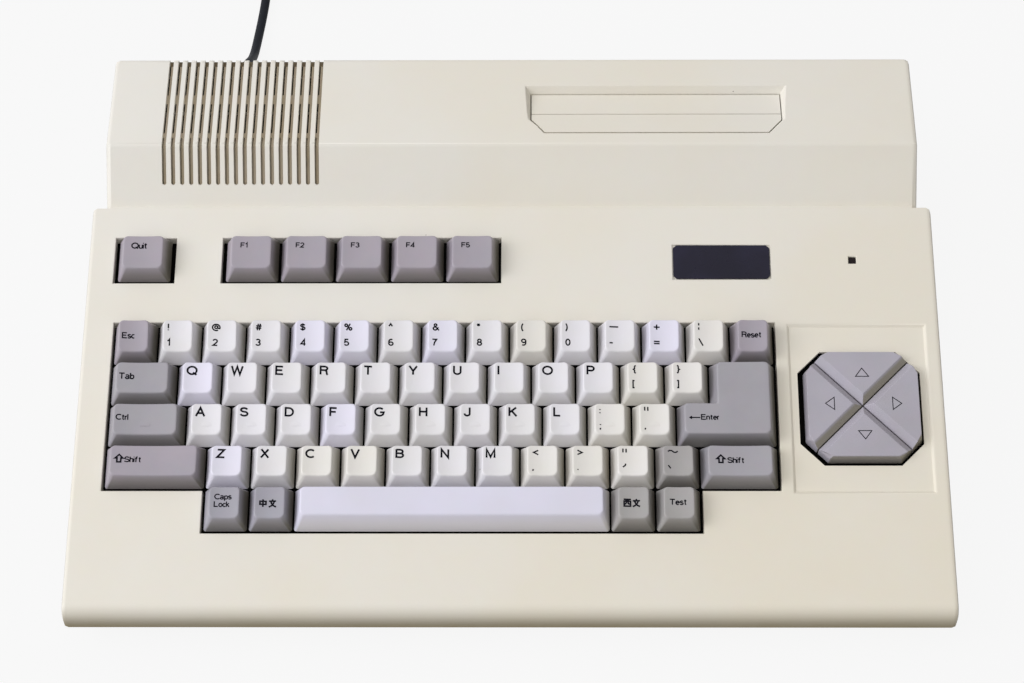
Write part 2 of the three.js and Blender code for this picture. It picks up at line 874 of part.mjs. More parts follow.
// A frame under the slot. It guides the cartridge, and the doors' pins turn in its sides
function addCartridgeGuide() {
  const front = frontPivot[0] - knuckleRadius - seatGap;
  const rear = rearPivot[0] + knuckleRadius + seatGap;
  const bottom = housingHeight - guideDrop;
  const ceiling = housingHeight - caseWall - seatGap;
  const rimBottom = tubBottom - seatGap;
  const faceWall = caseWall * Math.hypot(1, faceRise) + seatGap;
  const underFace = (y) => footZ + (y - footY) * faceRise - faceWall;
  const side = [
    [front - guideWall, bottom],
    [rear + guideWall, bottom],
    [rear + guideWall, rimBottom],
    [slotSplitY - recessBevel - seatGap, rimBottom],
    [slotSplitY - recessBevel - seatGap, ceiling],
    [footY + (ceiling + faceWall - footZ) / faceRise, ceiling],
    [front - guideWall, underFace(front - guideWall)],
  ];
  const frame = profiled(side, slotCentreX - guideOuter, slotCentreX + guideOuter);
  const well = block(
    [slotCentreX - guideInner, front, bottom - cutOverrun],
    [slotCentreX + guideInner, rear, housingHeight],
  );
  place(model, "cartridge_guide", cutAway(frame, [well, ...pivotBores()]), cream);
}

function slotCuts() {
  const opening = raised(
    slotOutline(0),
    housingHeight - recessSink - tubThickness - cutOverrun,
    housingHeight + cutOverrun,
  );
  return [slotRecess(), opening];
}

// The socket bay is a shallow tray behind an opening in the rear wall
function bayShell() {
  return block(
    [bayLeft - bayWall, rearY - bayDepth - bayWall, bayBottom - bayWall],
    [bayRight + bayWall, rearY - caseWall - seatGap, bayBottom + bayHeight + bayWall],
  );
}

function bayHollow() {
  return block(
    [bayLeft, rearY - bayDepth, bayBottom],
    [bayRight, rearY + cutOverrun, bayBottom + bayHeight],
  );
}

const socketZ = bayBottom + bayHeight / 2;
const audioX = videoX + jackSpacing;
const tapeX = audioX + jackSpacing + tapeRadius / 2;
const bayFloorY = rearY - bayDepth;
const bayBackY = bayFloorY - bayWall;

function windowAt(x, width, height) {
  const [w, h] = [width / 2 + seatGap, height / 2 + seatGap];
  return block([x - w, bayBackY - cutOverrun, socketZ - h], [x + w, bayFloorY + cutOverrun, socketZ + h]);
}

function bayCuts() {
  const middle = bayFloorY - bayWall / 2;
  const round = (x, radius) =>
    cylinder(radius + seatGap, bayWall + 2 * cutOverrun, 16, "y", [x, middle, socketZ]);
  return [
    ...[rfX, videoX, audioX].map((x) => round(x, jackRadius)),
    round(tapeX, tapeRadius),
    windowAt(printerX, printerWidth, printerHeight),
    windowAt(switchX, switchWidth, switchHeight),
  ];
}

function addSocketBay() {
  place(model, "socket_bay", cutAway(bayShell(), [bayHollow(), ...bayCuts()]), cream);
}

const leadHole = () =>
  cylinder(reliefNeckRadius + seatGap, caseWall + 2 * cutOverrun, 12, "y", [
    cordX,
    rearY - caseWall / 2,
    cordExitHeight,
  ]);

// Joystick sockets show through windows in the right-hand wall
const joystickZ = seamHeight + seatGap + joystickShell + joystickMouth[1] / 2;
const joystickPlaces = [joystickFirstY, joystickFirstY + joystickSpacing];
const joystickFlangeX = caseWidth / 2 - caseWall - lipWall - 2 * seatGap;

function joystickWindows() {
  const grow = joystickShell + seatGap;
  const [w, h] = [joystickMouth[0] / 2 + grow, joystickMouth[1] / 2 + grow];
  return joystickPlaces.map((y) =>
    block([joystickFlangeX, y - w, joystickZ - h], [caseWidth / 2 + cutOverrun, y + w, joystickZ + h]),
  );
}

function addUpperCase() {
  const grown = joined([caseShell(), ...deckAdditions(), slotRim(), ...upperBosses()]);
  const cuts = [belowSeam(), ...deckCuts(), ...slotCuts(), bayHollow(), leadHole(), ...joystickWindows()];
  const cut = cutAway(grown, [...cuts, ...ventCuts()]);
  place(model, "upper_case", joined([cut, ...ventRibs()]), cream);
}

// Plan of the case, with its rear part narrower, moved in by an inset
function plan(inset) {
  const wide = caseWidth / 2 - inset;
  const narrow = housingWidth / 2 - inset;
  const [front, step, rear] = [frontY + inset, deckRearY - inset, rearY - inset];
  const c = edgeRound;
  const right = [
    [wide - c, front], [wide, front + c], [wide, step - c], [wide - c, step],
    [narrow, step], [narrow, rear - c], [narrow - c, rear],
  ];
  const left = right.map(([x, y]) => [-x, y]).reverse();
  return [...right, ...left];
}

const footPlaces = [
  ["foot_front_left", -caseWidth / 2 + footInset, frontY + footInset],
  ["foot_front_right", caseWidth / 2 - footInset, frontY + footInset],
  ["foot_rear_left", -housingWidth / 2 + footInset, rearY - footInset],
  ["foot_rear_right", housingWidth / 2 - footInset, rearY - footInset],
];

const boardPosts = [
  [boardLeft + boardPostRadius * 2, boardFront + boardPostRadius * 2],
  [boardRight - boardPostRadius * 2, boardFront + boardPostRadius * 2],
  [boardLeft + boardPostRadius * 2, boardRear - boardPostRadius * 2],
  [boardRight - boardPostRadius * 2, boardRear - boardPostRadius * 2],
];

function addLowerCase() {
  const floorTop = footHeight + caseWall;
  const outside = lofted([atHeight(plan(lowerTaper), footHeight), atHeight(plan(0), seamHeight)]);
  const inside = lofted([
    atHeight(plan(lowerTaper + caseWall), floorTop),
    atHeight(plan(caseWall), seamHeight + cutOverrun),
  ]);
  const lipOuter = caseWall + seatGap;
  const lip = raised(plan(lipOuter), seamHeight - lipWall, seamHeight + lipHeight).subtract(
    raised(plan(lipOuter + lipWall), -cutOverrun, seamHeight + lipHeight + cutOverrun),
  );
  const post = (radius, x, y, top) =>
    cylinder(radius, top - floorTop + caseWall / 2, 10, "z", [x, y, (top + floorTop - caseWall / 2) / 2]);
  const bosses = bossPlaces.map(([x, y]) => post(bossRadius, x, y, seamHeight));
  const posts = boardPosts.map(([x, y]) => post(boardPostRadius, x, y, boardHeight));
  const seats = footPlaces.map(([, x, y]) =>
    cylinder(footRadius + seatGap, 2 * footSeat, 16, "z", [x, y, footHeight]),
  );
  const tray = joined([outside.subtract(inside), cutAway(lip, lipNotches()), ...bosses, ...posts]);
  place(model, "lower_case", cutAway(tray, seats), cream);
}

// The lip stops short of the socket bay, the joystick sockets and the case's posts
function lipNotches() {
  const bay = block(
    [bayLeft - bayWall - cutOverrun, bayBackY, seamHeight - cutOverrun],
    [bayRight + bayWall + cutOverrun, rearY, bayBottom],
  );
  const joysticks = joystickPlaces.map((y) =>
    block(
      [joystickFlangeX - joystickDepth, y - joystickWidth / 2 - seatGap, seamHeight - lipWall - cutOverrun],
      [caseWidth / 2, y + joystickWidth / 2 + seatGap, seamHeight + lipHeight + cutOverrun],
    ),
  );
  return [bay, ...joysticks];
}

function addFeet() {
  const top = footHeight + footSeat;
  for (const [name, x, y] of footPlaces) {
    place(model, name, cylinder(footRadius, top, 16, "z", [0, 0, top / 2]), rubber, [x, y, 0]);
  }
}

// A door's panel is built in the plane of the recess floor and hangs on arms from its pivots
function door(outline, pivot, arms) {
  const panel = lofted([
    outline.map(([x, y]) => [x, y, rampAt(y) - doorThickness]),
    outline.map(([x, y]) => [x, y, rampAt(y)]),
  ]);
  const [pivotY, pivotZ] = pivot;
  const solids = [panel];
  for (const side of [-1, 1]) {
    const outer = slotWidth / 2 - doorGap - arms.inset;
    const inner = outer - knuckleWidth;
    const [x0, x1] = [slotCentreX + side * inner, slotCentreX + side * outer].sort((a, b) => a - b);
    solids.push(profiled(arms.outline, x0, x1));
    const pinEnd = guideInner + guideWall;
    const pinMiddle = slotCentreX + (side * (inner + pinEnd)) / 2;
    solids.push(cylinder(pivotRadius, pinEnd - inner, 10, "x", [pinMiddle, pivotY, pivotZ]));
  }
  return joined(solids);
}

function addSlotDoors() {
  const side = doorGap;
  const [left, right] = [slotCentreX - slotWidth / 2 + side, slotCentreX + slotWidth / 2 - side];
  const split = doorSplitGap / 2;
  const rearOutline = rectangle(left, slotSplitY + split, right, slotRearY - doorGap);
  const corner = slotFrontY + slotCornerY;
  const frontOutline = [
    [left + slotCornerX, slotFrontY + doorGap], [right - slotCornerX, slotFrontY + doorGap],
    [right, corner + doorGap], [right, slotSplitY - split],
    [left, slotSplitY - split], [left, corner + doorGap],
  ];
  const armLength = knuckleRadius * 2;
  const rearRoot = slotRearY - doorGap;
  const rearFloor = rampAt(rearRoot) - doorThickness / 2;
  const rearArm = {
    inset: 0,
    outline: [
      [rearRoot - armLength, rearFloor], [rearRoot - armLength, rearPivot[1]],
      [rearPivot[0], rearPivot[1] - knuckleRadius],
      [rearPivot[0] + knuckleRadius, rearPivot[1]],
      [rearPivot[0], rearPivot[1] + knuckleRadius],
      [rearRoot, rearPivot[1] + knuckleRadius], [rearRoot, rearFloor],
    ],
  };
  const frontRoot = slotFrontY + doorGap;
  const frontFloor = rampAt(frontRoot) - doorThickness / 2;
  const frontArm = {
    inset: slotCornerX + doorGap,
    outline: [
      [frontRoot, frontFloor], [frontRoot, frontPivot[1] + knuckleRadius],
      [frontPivot[0], frontPivot[1] + knuckleRadius],
      [frontPivot[0] - knuckleRadius, frontPivot[1]],
      [frontPivot[0], frontPivot[1] - knuckleRadius],
      [frontRoot + armLength, frontPivot[1]], [frontRoot + armLength, frontFloor],
    ],
  };
  place(model, "slot_door_rear", door(rearOutline, rearPivot, rearArm), cream);
  place(model, "slot_door_front", door(frontOutline, frontPivot, frontArm), cream);
}

function addBadgeAndLamp() {
  const [w, d] = [badgeWidth / 2, badgeDepth / 2];
  const c = badgeCorner;
  const outline = [
    [-w + c, -d], [w - c, -d], [w, -d + c], [w, d - c],
    [w - c, d], [-w + c, d], [-w, d - c], [-w, -d + c],
  ];
  const base = -badgeSink + seatGap;
  const plate = raised(outline, base, base + badgeThickness);
  place(deck, "badge_plate", plate, black, [badgeCentreX, badgeDistance, 0]);
  const half = lampSize / 2;
  const lamp = block([-half, -half, -plateDrop + seatGap], [half, half, -lampSink]);
  place(deck, "power_lamp", lamp, lampRed, [padCentreX, functionRowDistance, 0]);
}

function addKeyboardPlate() {
  const [left, right] = [gridX(0) - plateBorder, padCentreX + padRecessWidth / 2 + plateFlange];
  const front = rowDistance(0) - keyPitch / 2 - plateBorder;
  const [bottom, top] = [-plateDrop - plateThickness, -plateDrop];
  const sheet = raised(rectangle(left, front, right, plateRearDistance), bottom, top);
  const flangeBottom = -keyBoardDrop + seatGap;
  const flangeTop = -plateDrop - plateThickness / 2;
  const flange = (x1, y) => raised(rectangle(left, y, x1, y + plateFlange), flangeBottom, flangeTop);
  const boardEdge = gridX(rowUnits);
  const flanges = [flange(boardEdge, front), flange(boardEdge, plateRearDistance - plateFlange)];
  const half = stemSize / 2 + seatGap;
  const holes = stemPlaces.map(([x, y]) =>
    raised(rectangle(x - half, y - half, x + half, y + half), bottom - cutOverrun, top + cutOverrun),
  );
  place(deck, "keyboard_plate", joined([sheet, ...flanges]).subtract(wasm.Manifold.union(holes)), steel);
}

function addKeyboardBoard() {
  const left = gridX(0) - plateBorder;
  const middle = gridX(rowUnits);
  const right = padCentreX + padSize / 2;
  const front = rowDistance(0) - keyPitch / 2 - plateBorder;
  const [padFront, padRear] = [padDistance - padBoardDepth / 2, padDistance + padBoardDepth / 2];
  const outline = [
    [left, front], [middle, front], [middle, padFront], [right, padFront],
    [right, padRear], [middle, padRear], [middle, plateRearDistance], [left, plateRearDistance],
  ];
  const top = -keyBoardDrop;
  place(deck, "keyboard_board", raised(outline, top - keyBoardThickness, top), boardGreen);
}

// The chips are soldered to the board, so they are one piece with it
function addMainBoard() {
  const sheet = raised(rectangle(boardLeft, boardFront, boardRight, boardRear), boardHeight, boardTop);
  const span = boardRight - boardLeft;
  const depth = boardRear - boardFront;
  const chip = (shareX, shareY, length) => {
    const [x, y] = [boardLeft + span * shareX, boardFront + depth * shareY];
    return block([x, y, boardTop - boardThickness / 2], [x + length, y + chipWidth, boardTop + chipHeight]);
  };
  const longShares = [
    [0.08, 0.12],
    [0.34, 0.12],
    [0.08, 0.42],
    [0.34, 0.42],
  ];
  const shortShares = [
    [0.6, 0.1],
    [0.7, 0.1],
    [0.8, 0.1],
    [0.6, 0.3],
    [0.7, 0.3],
    [0.8, 0.3],
  ];
  const chips = [
    ...longShares.map(([x, y]) => chip(x, y, longChip)),
    ...shortShares.map(([x, y]) => chip(x, y, shortChip)),
  ];
  place(model, "main_board", joined([sheet, ...chips]), boardGreen);
}

function addCartridgeConnector() {
  const y = (slotFrontY + slotRearY) / 2;
  const [l, w] = [connectorLength / 2, connectorWidth / 2];
  const body = block(
    [slotCentreX - l, y - w, boardTop],
    [slotCentreX + l, y + w, boardTop + connectorHeight],
  );
  const [slotLong, slotAcross, slotDeep] = connectorSlot;
  const slot = block(
    [slotCentreX - slotLong / 2, y - slotAcross / 2, boardTop + connectorHeight - slotDeep],
    [slotCentreX + slotLong / 2, y + slotAcross / 2, boardTop + connectorHeight + cutOverrun],
  );
  place(model, "cartridge_connector", body.subtract(slot), black);
}

function addTransformer() {
  const floor = footHeight + caseWall;
  const centred = ([w, d, h], z) => block(
    [transformerX - w / 2, transformerY - d / 2, z],
    [transformerX + w / 2, transformerY + d / 2, z + h],
  );
  const [, , coreHeight] = transformerCore;
  const [, , windingHeight] = transformerWinding;
  const winding = centred(transformerWinding, floor + (coreHeight - windingHeight) / 2);
  const solid = joined([centred(transformerFoot, floor), centred(transformerCore, floor), winding]);
  place(model, "mains_transformer", solid, steel);
}

// A comb of fins on a common base that stands on edge on the board
function addHeatSink() {
  const [x0, x1] = [heatSinkX - heatSinkWidth / 2, heatSinkX + heatSinkWidth / 2];
  const y0 = heatSinkY - heatSinkLength / 2;
  const bottom = boardTop;
  const top = boardTop + heatSinkHeight;
  const base = block([x0, y0, bottom], [x0 + heatSinkBase, y0 + heatSinkLength, top]);
  const spacing = (heatSinkLength - finThickness) / (heatSinkFins - 1);
  const fins = Array.from({ length: heatSinkFins }, (_, i) =>
    block([x0, y0 + i * spacing, bottom], [x1, y0 + i * spacing + finThickness, top]),
  );
  place(model, "heat_sink", joined([base, ...fins]), steel);
}

// Socket bodies stand behind the bay's back wall, and their noses reach into the bay
function jack(x) {
  const length = bayWall + seatGap + jackReach;
  const y = bayFloorY + jackReach - length / 2;
  return cylinder(jackRadius, length + seatGap, 16, "y", [x, y - seatGap / 2, socketZ]);
}

function socketBody(x0, x1, depth, height) {
  const back = bayBackY - seatGap;
  return block([x0, back - depth, boardTop], [x1, back, boardTop + height]);
}

function addRearSockets() {
  const height = socketZ + jackRadius * 1.5 - boardTop;
  const half = rfWidth / 2;
  const rf = joined([socketBody(rfX - half, rfX + half, rfDepth, height), jack(rfX)]);
  place(model, "rf_modulator", rf, steel);

  const margin = jackRadius * 1.8;
  const right = tapeX + tapeRadius + jackRadius;
  const ring = cylinder(tapeRadius, bayWall + 2 * seatGap + switchFrame, 20, "y", [
    tapeX,
    bayFloorY - bayWall / 2 + switchFrame / 2,
    socketZ,
  ]);
  const mouth = cylinder(tapeMouthRadius, 2 * tapeMouthDepth, 16, "y", [
    tapeX,
    bayFloorY + switchFrame + seatGap,
    socketZ,
  ]);
  const blockHeight = Math.max(socketBodyHeight, socketZ + tapeRadius + bayWall - boardTop);
  const body = socketBody(videoX - margin, right, socketBodyDepth, blockHeight);
  const av = joined([body, jack(videoX), jack(audioX), ring]).subtract(mouth);
  place(model, "av_socket_block", av, black);

  const [w, h] = [printerWidth / 2, printerHeight / 2];
  const printerBody = socketBody(printerX - w, printerX + w, printerDepth, blockHeight);
  const nose = block(
    [printerX - w, bayBackY - 2 * seatGap, socketZ - h],
    [printerX + w, bayFloorY + switchFrame, socketZ + h],
  );
  const [mouthWidth, mouthHeight] = printerMouth;
  const printerHollow = block(
    [printerX - mouthWidth / 2, bayFloorY + switchFrame - printerMouthDepth, socketZ - mouthHeight / 2],
    [printerX + mouthWidth / 2, bayFloorY + switchFrame + cutOverrun, socketZ + mouthHeight / 2],
  );
  place(model, "printer_socket", joined([printerBody, nose]).subtract(printerHollow), black);
}

function addJoystickSockets() {
  const [mouthWidth, mouthHeight] = joystickMouth;
  joystickPlaces.forEach((y, i) => {
    const centred = (width, height, x0, x1) => block(
      [x0, y - width / 2, joystickZ - height / 2],
      [x1, y + width / 2, joystickZ + height / 2],
    );
    const shell = 2 * joystickShell;
    const end = caseWidth / 2 - seatGap;
    const body = block(
      [joystickFlangeX - joystickDepth, y - joystickWidth / 2, boardTop],
      [joystickFlangeX - seatGap, y + joystickWidth / 2, joystickZ + joystickHeight / 2],
    );
    const nose = centred(mouthWidth + shell, mouthHeight + shell, joystickFlangeX - joystickDepth, end);
    const mouth = centred(mouthWidth, mouthHeight, end - joystickMouthDepth, end + cutOverrun);
    place(model, `joystick_socket_${i + 1}`, body.add(nose).subtract(mouth), black);
  });
}

// The rocker turns on a pin in the switch's side walls, and rests tilted one way
function addPowerSwitch() {
  const centred = (width, height, y0, y1) => block(
    [switchX - width / 2, y0, socketZ - height / 2],
    [switchX + width / 2, y1, socketZ + height / 2],
  );
  const front = bayFloorY + switchFrame;
  const pivotY = bayFloorY - rockerDepth / 3;
  const swing = 2 * (rockerDepth / 2) * Math.sin(THREE.MathUtils.degToRad(rockerTiltDegrees)) + 2 * seatGap;
  const bore = (radius, length) => cylinder(radius, length, 10, "x", [switchX, pivotY, socketZ]);
  const pinLength = rockerWidth + 2 * rockerPinReach;
  const body = centred(switchWidth, switchHeight, bayBackY - switchDepth, front);
  const frame = centred(switchWidth + 2 * switchFrame, switchHeight + 2 * switchFrame, bayFloorY, front);
  const [hollowWidth, hollowHeight] = [rockerWidth + 2 * seatGap, rockerHeight + swing];
  const hollow = centred(hollowWidth, hollowHeight, pivotY - rockerDepth, front + cutOverrun);
  const holes = [hollow, bore(pivotRadius + pivotClearance, pinLength + 2 * pivotClearance)];
  place(model, "power_switch", cutAway(body.add(frame), holes), black);

  const half = rockerHeight / 2;
  const nose = rockerDepth / 2;
  const section = [
    [-nose, -nose], [nose, -half], [nose - switchFrame / 2, 0],
    [nose, half], [-nose, nose],
  ];
  const rocker = profiled(section, -rockerWidth / 2, rockerWidth / 2)
    .rotate([rockerTiltDegrees, 0, 0])
    .translate([switchX, pivotY, socketZ]);
  place(model, "power_rocker", rocker.add(bore(pivotRadius, pinLength)), black);
}

// A flat ribbon hangs from the keyboard's board to the main board, with a jog for slack
function addRibbon() {
  const under = -keyBoardDrop - keyBoardThickness - seatGap;
  const start = new THREE.Vector3(0, plateRearDistance - ribbonJog, under).applyMatrix4(deck.matrix);
  const middle = (start.z + boardTop) / 2;
  const path = [
    [start.y, start.z], [start.y, middle + ribbonThickness],
    [start.y + ribbonJog, middle - ribbonThickness], [start.y + ribbonJog, boardTop],
  ];
  const back = path.map(([y, z], i) => [y + ribbonThickness, i === 1 || i === 2 ? z + ribbonThickness : z]);
  back[0][1] += ribbonThickness * Math.tan(slope);
  const half = ribbonWidth / 2;
  const ribbon = profiled([...path, ...back.reverse()], ribbonX - half, ribbonX + half);
  place(model, "keyboard_ribbon", ribbon, black);
}

// Strain relief: a flange inside the rear wall, a neck through it and a tapered sleeve outside
function addStrainRelief() {
  const profile = [
    [0, -caseWall - reliefFlange], [reliefFlangeRadius, -caseWall - reliefFlange],
    [reliefFlangeRadius, -caseWall - seatGap], [reliefNeckRadius, -caseWall - seatGap],
    [reliefNeckRadius, seatGap], [reliefFlangeRadius, seatGap],
    [reliefFlangeRadius, reliefFlange], [reliefNeckRadius, reliefFlange],
    [reliefTipRadius, reliefLength], [0, reliefLength],
  ];
  const geometry = new THREE.LatheGeometry(profile.map(([r, y]) => new THREE.Vector2(r, y)), 16);
  place(model, "cord_relief", solidOf(geometry), rubber, [cordX, rearY, cordExitHeight]);
}

const cordRadius = cordDiameter / 2;
const coilPitch = cordDiameter + coilGap;
const coilOuterRadius = coilMeanRadius + (coilLayerTurns * coilPitch) / 2;

// Points of the lead's free stretch, from the strain relief's tip down to the table and back
const cordRoute = [
  [cordX, rearY + reliefLength + seatGap, cordExitHeight],
  [-127.8, 158, 21.5],
  [-127.5, 163, 19.6],
  [-127.2, 168, 16],
  [-126.9, 173, 11.4],
  [-126.6, 178, 7.2],
  [-126.3, 183, 4.2],
  [-125.9, 188, 2.7],
  [-125.3, 194, cordRadius],
  [-124.5, 201, cordRadius],
  [-123.7, 209, cordRadius],
  [-123, 218, cordRadius],
  [-122.5, 230, cordRadius],
  [coilX, 243, cordRadius],
  [coilX, coilY - cordDiameter - seatGap, cordRadius],
];

function addCord() {
  const curve = new THREE.CatmullRomCurve3(cordRoute.map((point) => new THREE.Vector3(...point)));
  const circle = new THREE.Shape().absarc(0, 0, cordRadius, 0, 2 * Math.PI);
  const steps = Math.round(curve.getLength() / (2 * cordDiameter));
  const options = { extrudePath: curve, steps, bevelEnabled: false, curveSegments: cordSides };
  place(model, "mains_cord", solidOf(new THREE.ExtrudeGeometry(circle, options)), black);
}

// Centre line of the coil: it spirals in on the table, climbs one layer and spirals out above.
// Straight ends join it to the free stretch and to the plug
function coilPoint(turn) {
  const total = 2 * coilLayerTurns;
  const angle = Math.PI - 2 * Math.PI * turn;
  const radius = coilOuterRadius - coilPitch * Math.min(turn, total - turn);
  const rise = THREE.MathUtils.smoothstep(turn, coilLayerTurns - 1 / 4, coilLayerTurns + 1 / 4);
  return new THREE.Vector3(
    coilX + coilOuterRadius + radius * Math.cos(angle),
    coilY + radius * Math.sin(angle),
    cordRadius + rise * coilPitch,
  );
}

const loopSteps = 24;
const loopSides = 6;

function coilPath() {
  const count = 2 * coilLayerTurns * loopSteps;
  const turns = Array.from({ length: count + 1 }, (_, i) => coilPoint(i / loopSteps));
  const first = turns[0].clone().setY(coilY - cordDiameter);
  const last = turns[count].clone().setY(coilY + coilTail);
  return [first, ...turns, last];
}

// A tube along a path, with its rings kept upright
function tube(path, radius, sides) {
  const up = new THREE.Vector3(0, 0, 1);
  const last = path.length - 1;
  const rings = path.map((point, i) => {
    const along = path[Math.min(i + 1, last)].clone().sub(path[Math.max(i - 1, 0)]);
    if (i <= 1) along.copy(path[1]).sub(path[0]);
    if (i >= last - 1) along.copy(path[last]).sub(path[last - 1]);
    const across = new THREE.Vector3().crossVectors(along, up).normalize();
    const above = new THREE.Vector3().crossVectors(across, along).normalize();
    return Array.from({ length: sides }, (_, side) => {
      const angle = (2 * Math.PI * (side + 1 / 2)) / sides;
      const offset = above.clone().multiplyScalar(Math.sin(angle)).addScaledVector(across, Math.cos(angle));
      return point.clone().addScaledVector(offset, radius).toArray();
    });
  });
  const index = [];
  for (let ring = 0; ring < last; ring += 1) {
    for (let i = 0; i < sides; i += 1) {
      const a = ring * sides + i;
      const b = ring * sides + ((i + 1) % sides);
      index.push(a, b + sides, b, a, a + sides, b + sides);
    }
  }
  for (let i = 1; i < sides - 1; i += 1) {
    index.push(0, i, i + 1);
    index.push(last * sides, last * sides + i + 1, last * sides + i);
  }
  const geometry = new THREE.BufferGeometry();
  geometry.setAttribute("position", new THREE.Float32BufferAttribute(rings.flat(2), 3));
  geometry.setIndex(index);
  return geometry;
}

// Least distance between the surfaces of stretches of the path that lie half a turn or more apart
function leastGap(path, radius) {
  let least = Infinity;
  path.forEach((point, i) => {
    for (let j = i + loopSteps / 2; j < path.length - 1; j += 1) {
      const stretch = new THREE.Line3(path[j], path[j + 1]);
      const nearest = stretch.closestPointToPoint(point, true, new THREE.Vector3());
      least = Math.min(least, nearest.distanceTo(point) - 2 * radius);
    }
  });
  return least;
}

function addCoil() {
  const path = coilPath();
  console.log(`least gap between the coil's turns: ${leastGap(path, cordRadius).toFixed(2)} mm`);
  place(model, "cord_coil", solidOf(tube(path, cordRadius, loopSides)), black);
}

// The plug lies on the table with its sleeve at the height of the coil's upper layer
function addPlug() {
  const axisZ = cordRadius + coilPitch;
  const start = coilY + coilTail + seatGap;
  const shoulder = start + plugSleeve;
  const end = shoulder + plugLength;
  const half = plugWidth / 2;
  const taper = half / 2;
  const outline = [
    [coilX - plugSleeveRadius, shoulder - seatGap], [coilX + plugSleeveRadius, shoulder - seatGap],
    [coilX + half, shoulder + taper], [coilX + half, end],
    [coilX - half, end], [coilX - half, shoulder + taper],
  ];
  const sleeve = cylinder(plugSleeveRadius, plugSleeve, 12, "y", [coilX, start + plugSleeve / 2, axisZ]);
  const pins = [-1, 1].map((side) => {
    const x = coilX + (side * plugPinSpacing) / 2;
    const [w, h] = [plugPinThickness / 2, plugPinWidth / 2];
    return block([x - w, end - plugPinThickness, axisZ - h], [x + w, end + plugPinLength, axisZ + h]);
  });
  place(model, "mains_plug", joined([raised(outline, 0, 2 * axisZ), sleeve, ...pins]), black);
}

addKeys();
addEnterKey();
addFunctionKeys();
addCursorPad();
addUpperCase();
addCartridgeGuide();
addSocketBay();
addLowerCase();
addFeet();
addSlotDoors();
addBadgeAndLamp();
addKeyboardPlate();
addKeyboardBoard();
addMainBoard();
addCartridgeConnector();
addTransformer();
addHeatSink();
addRearSockets();
addJoystickSockets();
addPowerSwitch();
addRibbon();
addStrainRelief();
addCord();
addCoil();
addPlug();

export default model;
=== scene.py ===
import math

import bmesh
import bpy
from mathutils import Matrix, Vector


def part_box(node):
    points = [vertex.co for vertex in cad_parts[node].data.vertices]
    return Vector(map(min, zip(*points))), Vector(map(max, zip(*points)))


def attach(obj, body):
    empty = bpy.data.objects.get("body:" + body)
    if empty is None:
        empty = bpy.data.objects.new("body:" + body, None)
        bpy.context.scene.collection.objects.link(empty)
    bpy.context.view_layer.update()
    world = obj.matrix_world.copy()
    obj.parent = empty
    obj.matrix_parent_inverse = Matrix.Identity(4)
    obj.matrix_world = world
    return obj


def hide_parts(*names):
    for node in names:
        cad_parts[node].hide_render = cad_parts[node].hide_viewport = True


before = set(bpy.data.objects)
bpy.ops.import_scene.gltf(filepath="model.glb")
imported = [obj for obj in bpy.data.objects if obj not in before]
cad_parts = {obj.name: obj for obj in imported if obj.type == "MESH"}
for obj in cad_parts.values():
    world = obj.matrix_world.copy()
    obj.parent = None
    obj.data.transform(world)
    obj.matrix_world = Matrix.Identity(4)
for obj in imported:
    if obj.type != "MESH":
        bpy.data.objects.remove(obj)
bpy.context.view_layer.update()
metresPerMm = 0.001

# The sloped deck. Places on it are x across, s up the slope from the front, n out of it, in mm
deck = {"frontY": -130, "frontZ": 23.3, "slope": math.radians(8.5)}


def metres(point):
    return Vector(point) * metresPerMm


def onDeck(x, s, n):
    c, k = math.cos(deck["slope"]), math.sin(deck["slope"])
    return Vector((x, deck["frontY"] + s * c - n * k, deck["frontZ"] + s * k + n * c))


def deckPlace(y, z):
    # s and n of a point in the frame
    c, k = math.cos(deck["slope"]), math.sin(deck["slope"])
    y, z = y - deck["frontY"], z - deck["frontZ"]
    return y * c + z * k, z * c - y * k


# Camera, at the photograph's viewing angle
cameraView = {
    "place": (11.981, -588.63, 952.966),  # mm
    "right": (0.99994546, 0.00520954, -0.00905173),
    "up": (0.00048017, 0.84285856, 0.53813494),
    "back": (0.01043276, -0.53810994, 0.84281009),
    "lens": 87.745,  # mm
    "sensor": 36,  # mm wide
    "nearest": 0.05,  # metres
    "farthest": 20,
}


def makeCamera(view):
    camera = bpy.data.objects.new("camera", bpy.data.cameras.new("camera"))
    bpy.context.collection.objects.link(camera)
    turn = Matrix((view["right"], view["up"], view["back"])).transposed().to_4x4()
    camera.matrix_world = Matrix.Translation(metres(view["place"])) @ turn
    camera.data.lens = view["lens"]
    camera.data.sensor_width = view["sensor"]
    camera.data.clip_start, camera.data.clip_end = view["nearest"], view["farthest"]
    bpy.context.scene.camera = camera


makeCamera(cameraView)
print("camera made")


# Colour and material helpers
def linear(hexColour):
    channels = [int(hexColour[i : i + 2], 16) / 255 for i in (0, 2, 4)]
    return [c / 12.92 if c <= 0.04045 else ((c + 0.055) / 1.055) ** 2.4 for c in channels] + [1]


def addNode(tree, kind, settings=(), links=()):
    node = tree.nodes.new("ShaderNode" + kind)
    for key, value in dict(settings).items():
        if isinstance(key, str) and hasattr(node, key):
            setattr(node, key, value)
        else:
            node.inputs[key].default_value = value
    for key, (source, output) in dict(links).items():
        tree.links.new(source.outputs[output], node.inputs[key])
    return node


def newMaterial(name):
    material = bpy.data.materials.new(name)
    material.use_nodes = True
    tree = material.node_tree
    tree.nodes.clear()
    shader = addNode(tree, "BsdfPrincipled")
    addNode(tree, "OutputMaterial", (), {"Surface": (shader, "BSDF")})
    return material, tree, shader, addNode(tree, "TexCoord")


# Settings that many nodes share
softStep = {"interpolation_type": "SMOOTHSTEP"}  # 0 below From Min, 1 above From Max
mixColours = {"data_type": "RGBA"}  # factor is input 0, colours are inputs 6 and 7, output 2
multiply = {"operation": "MULTIPLY"}


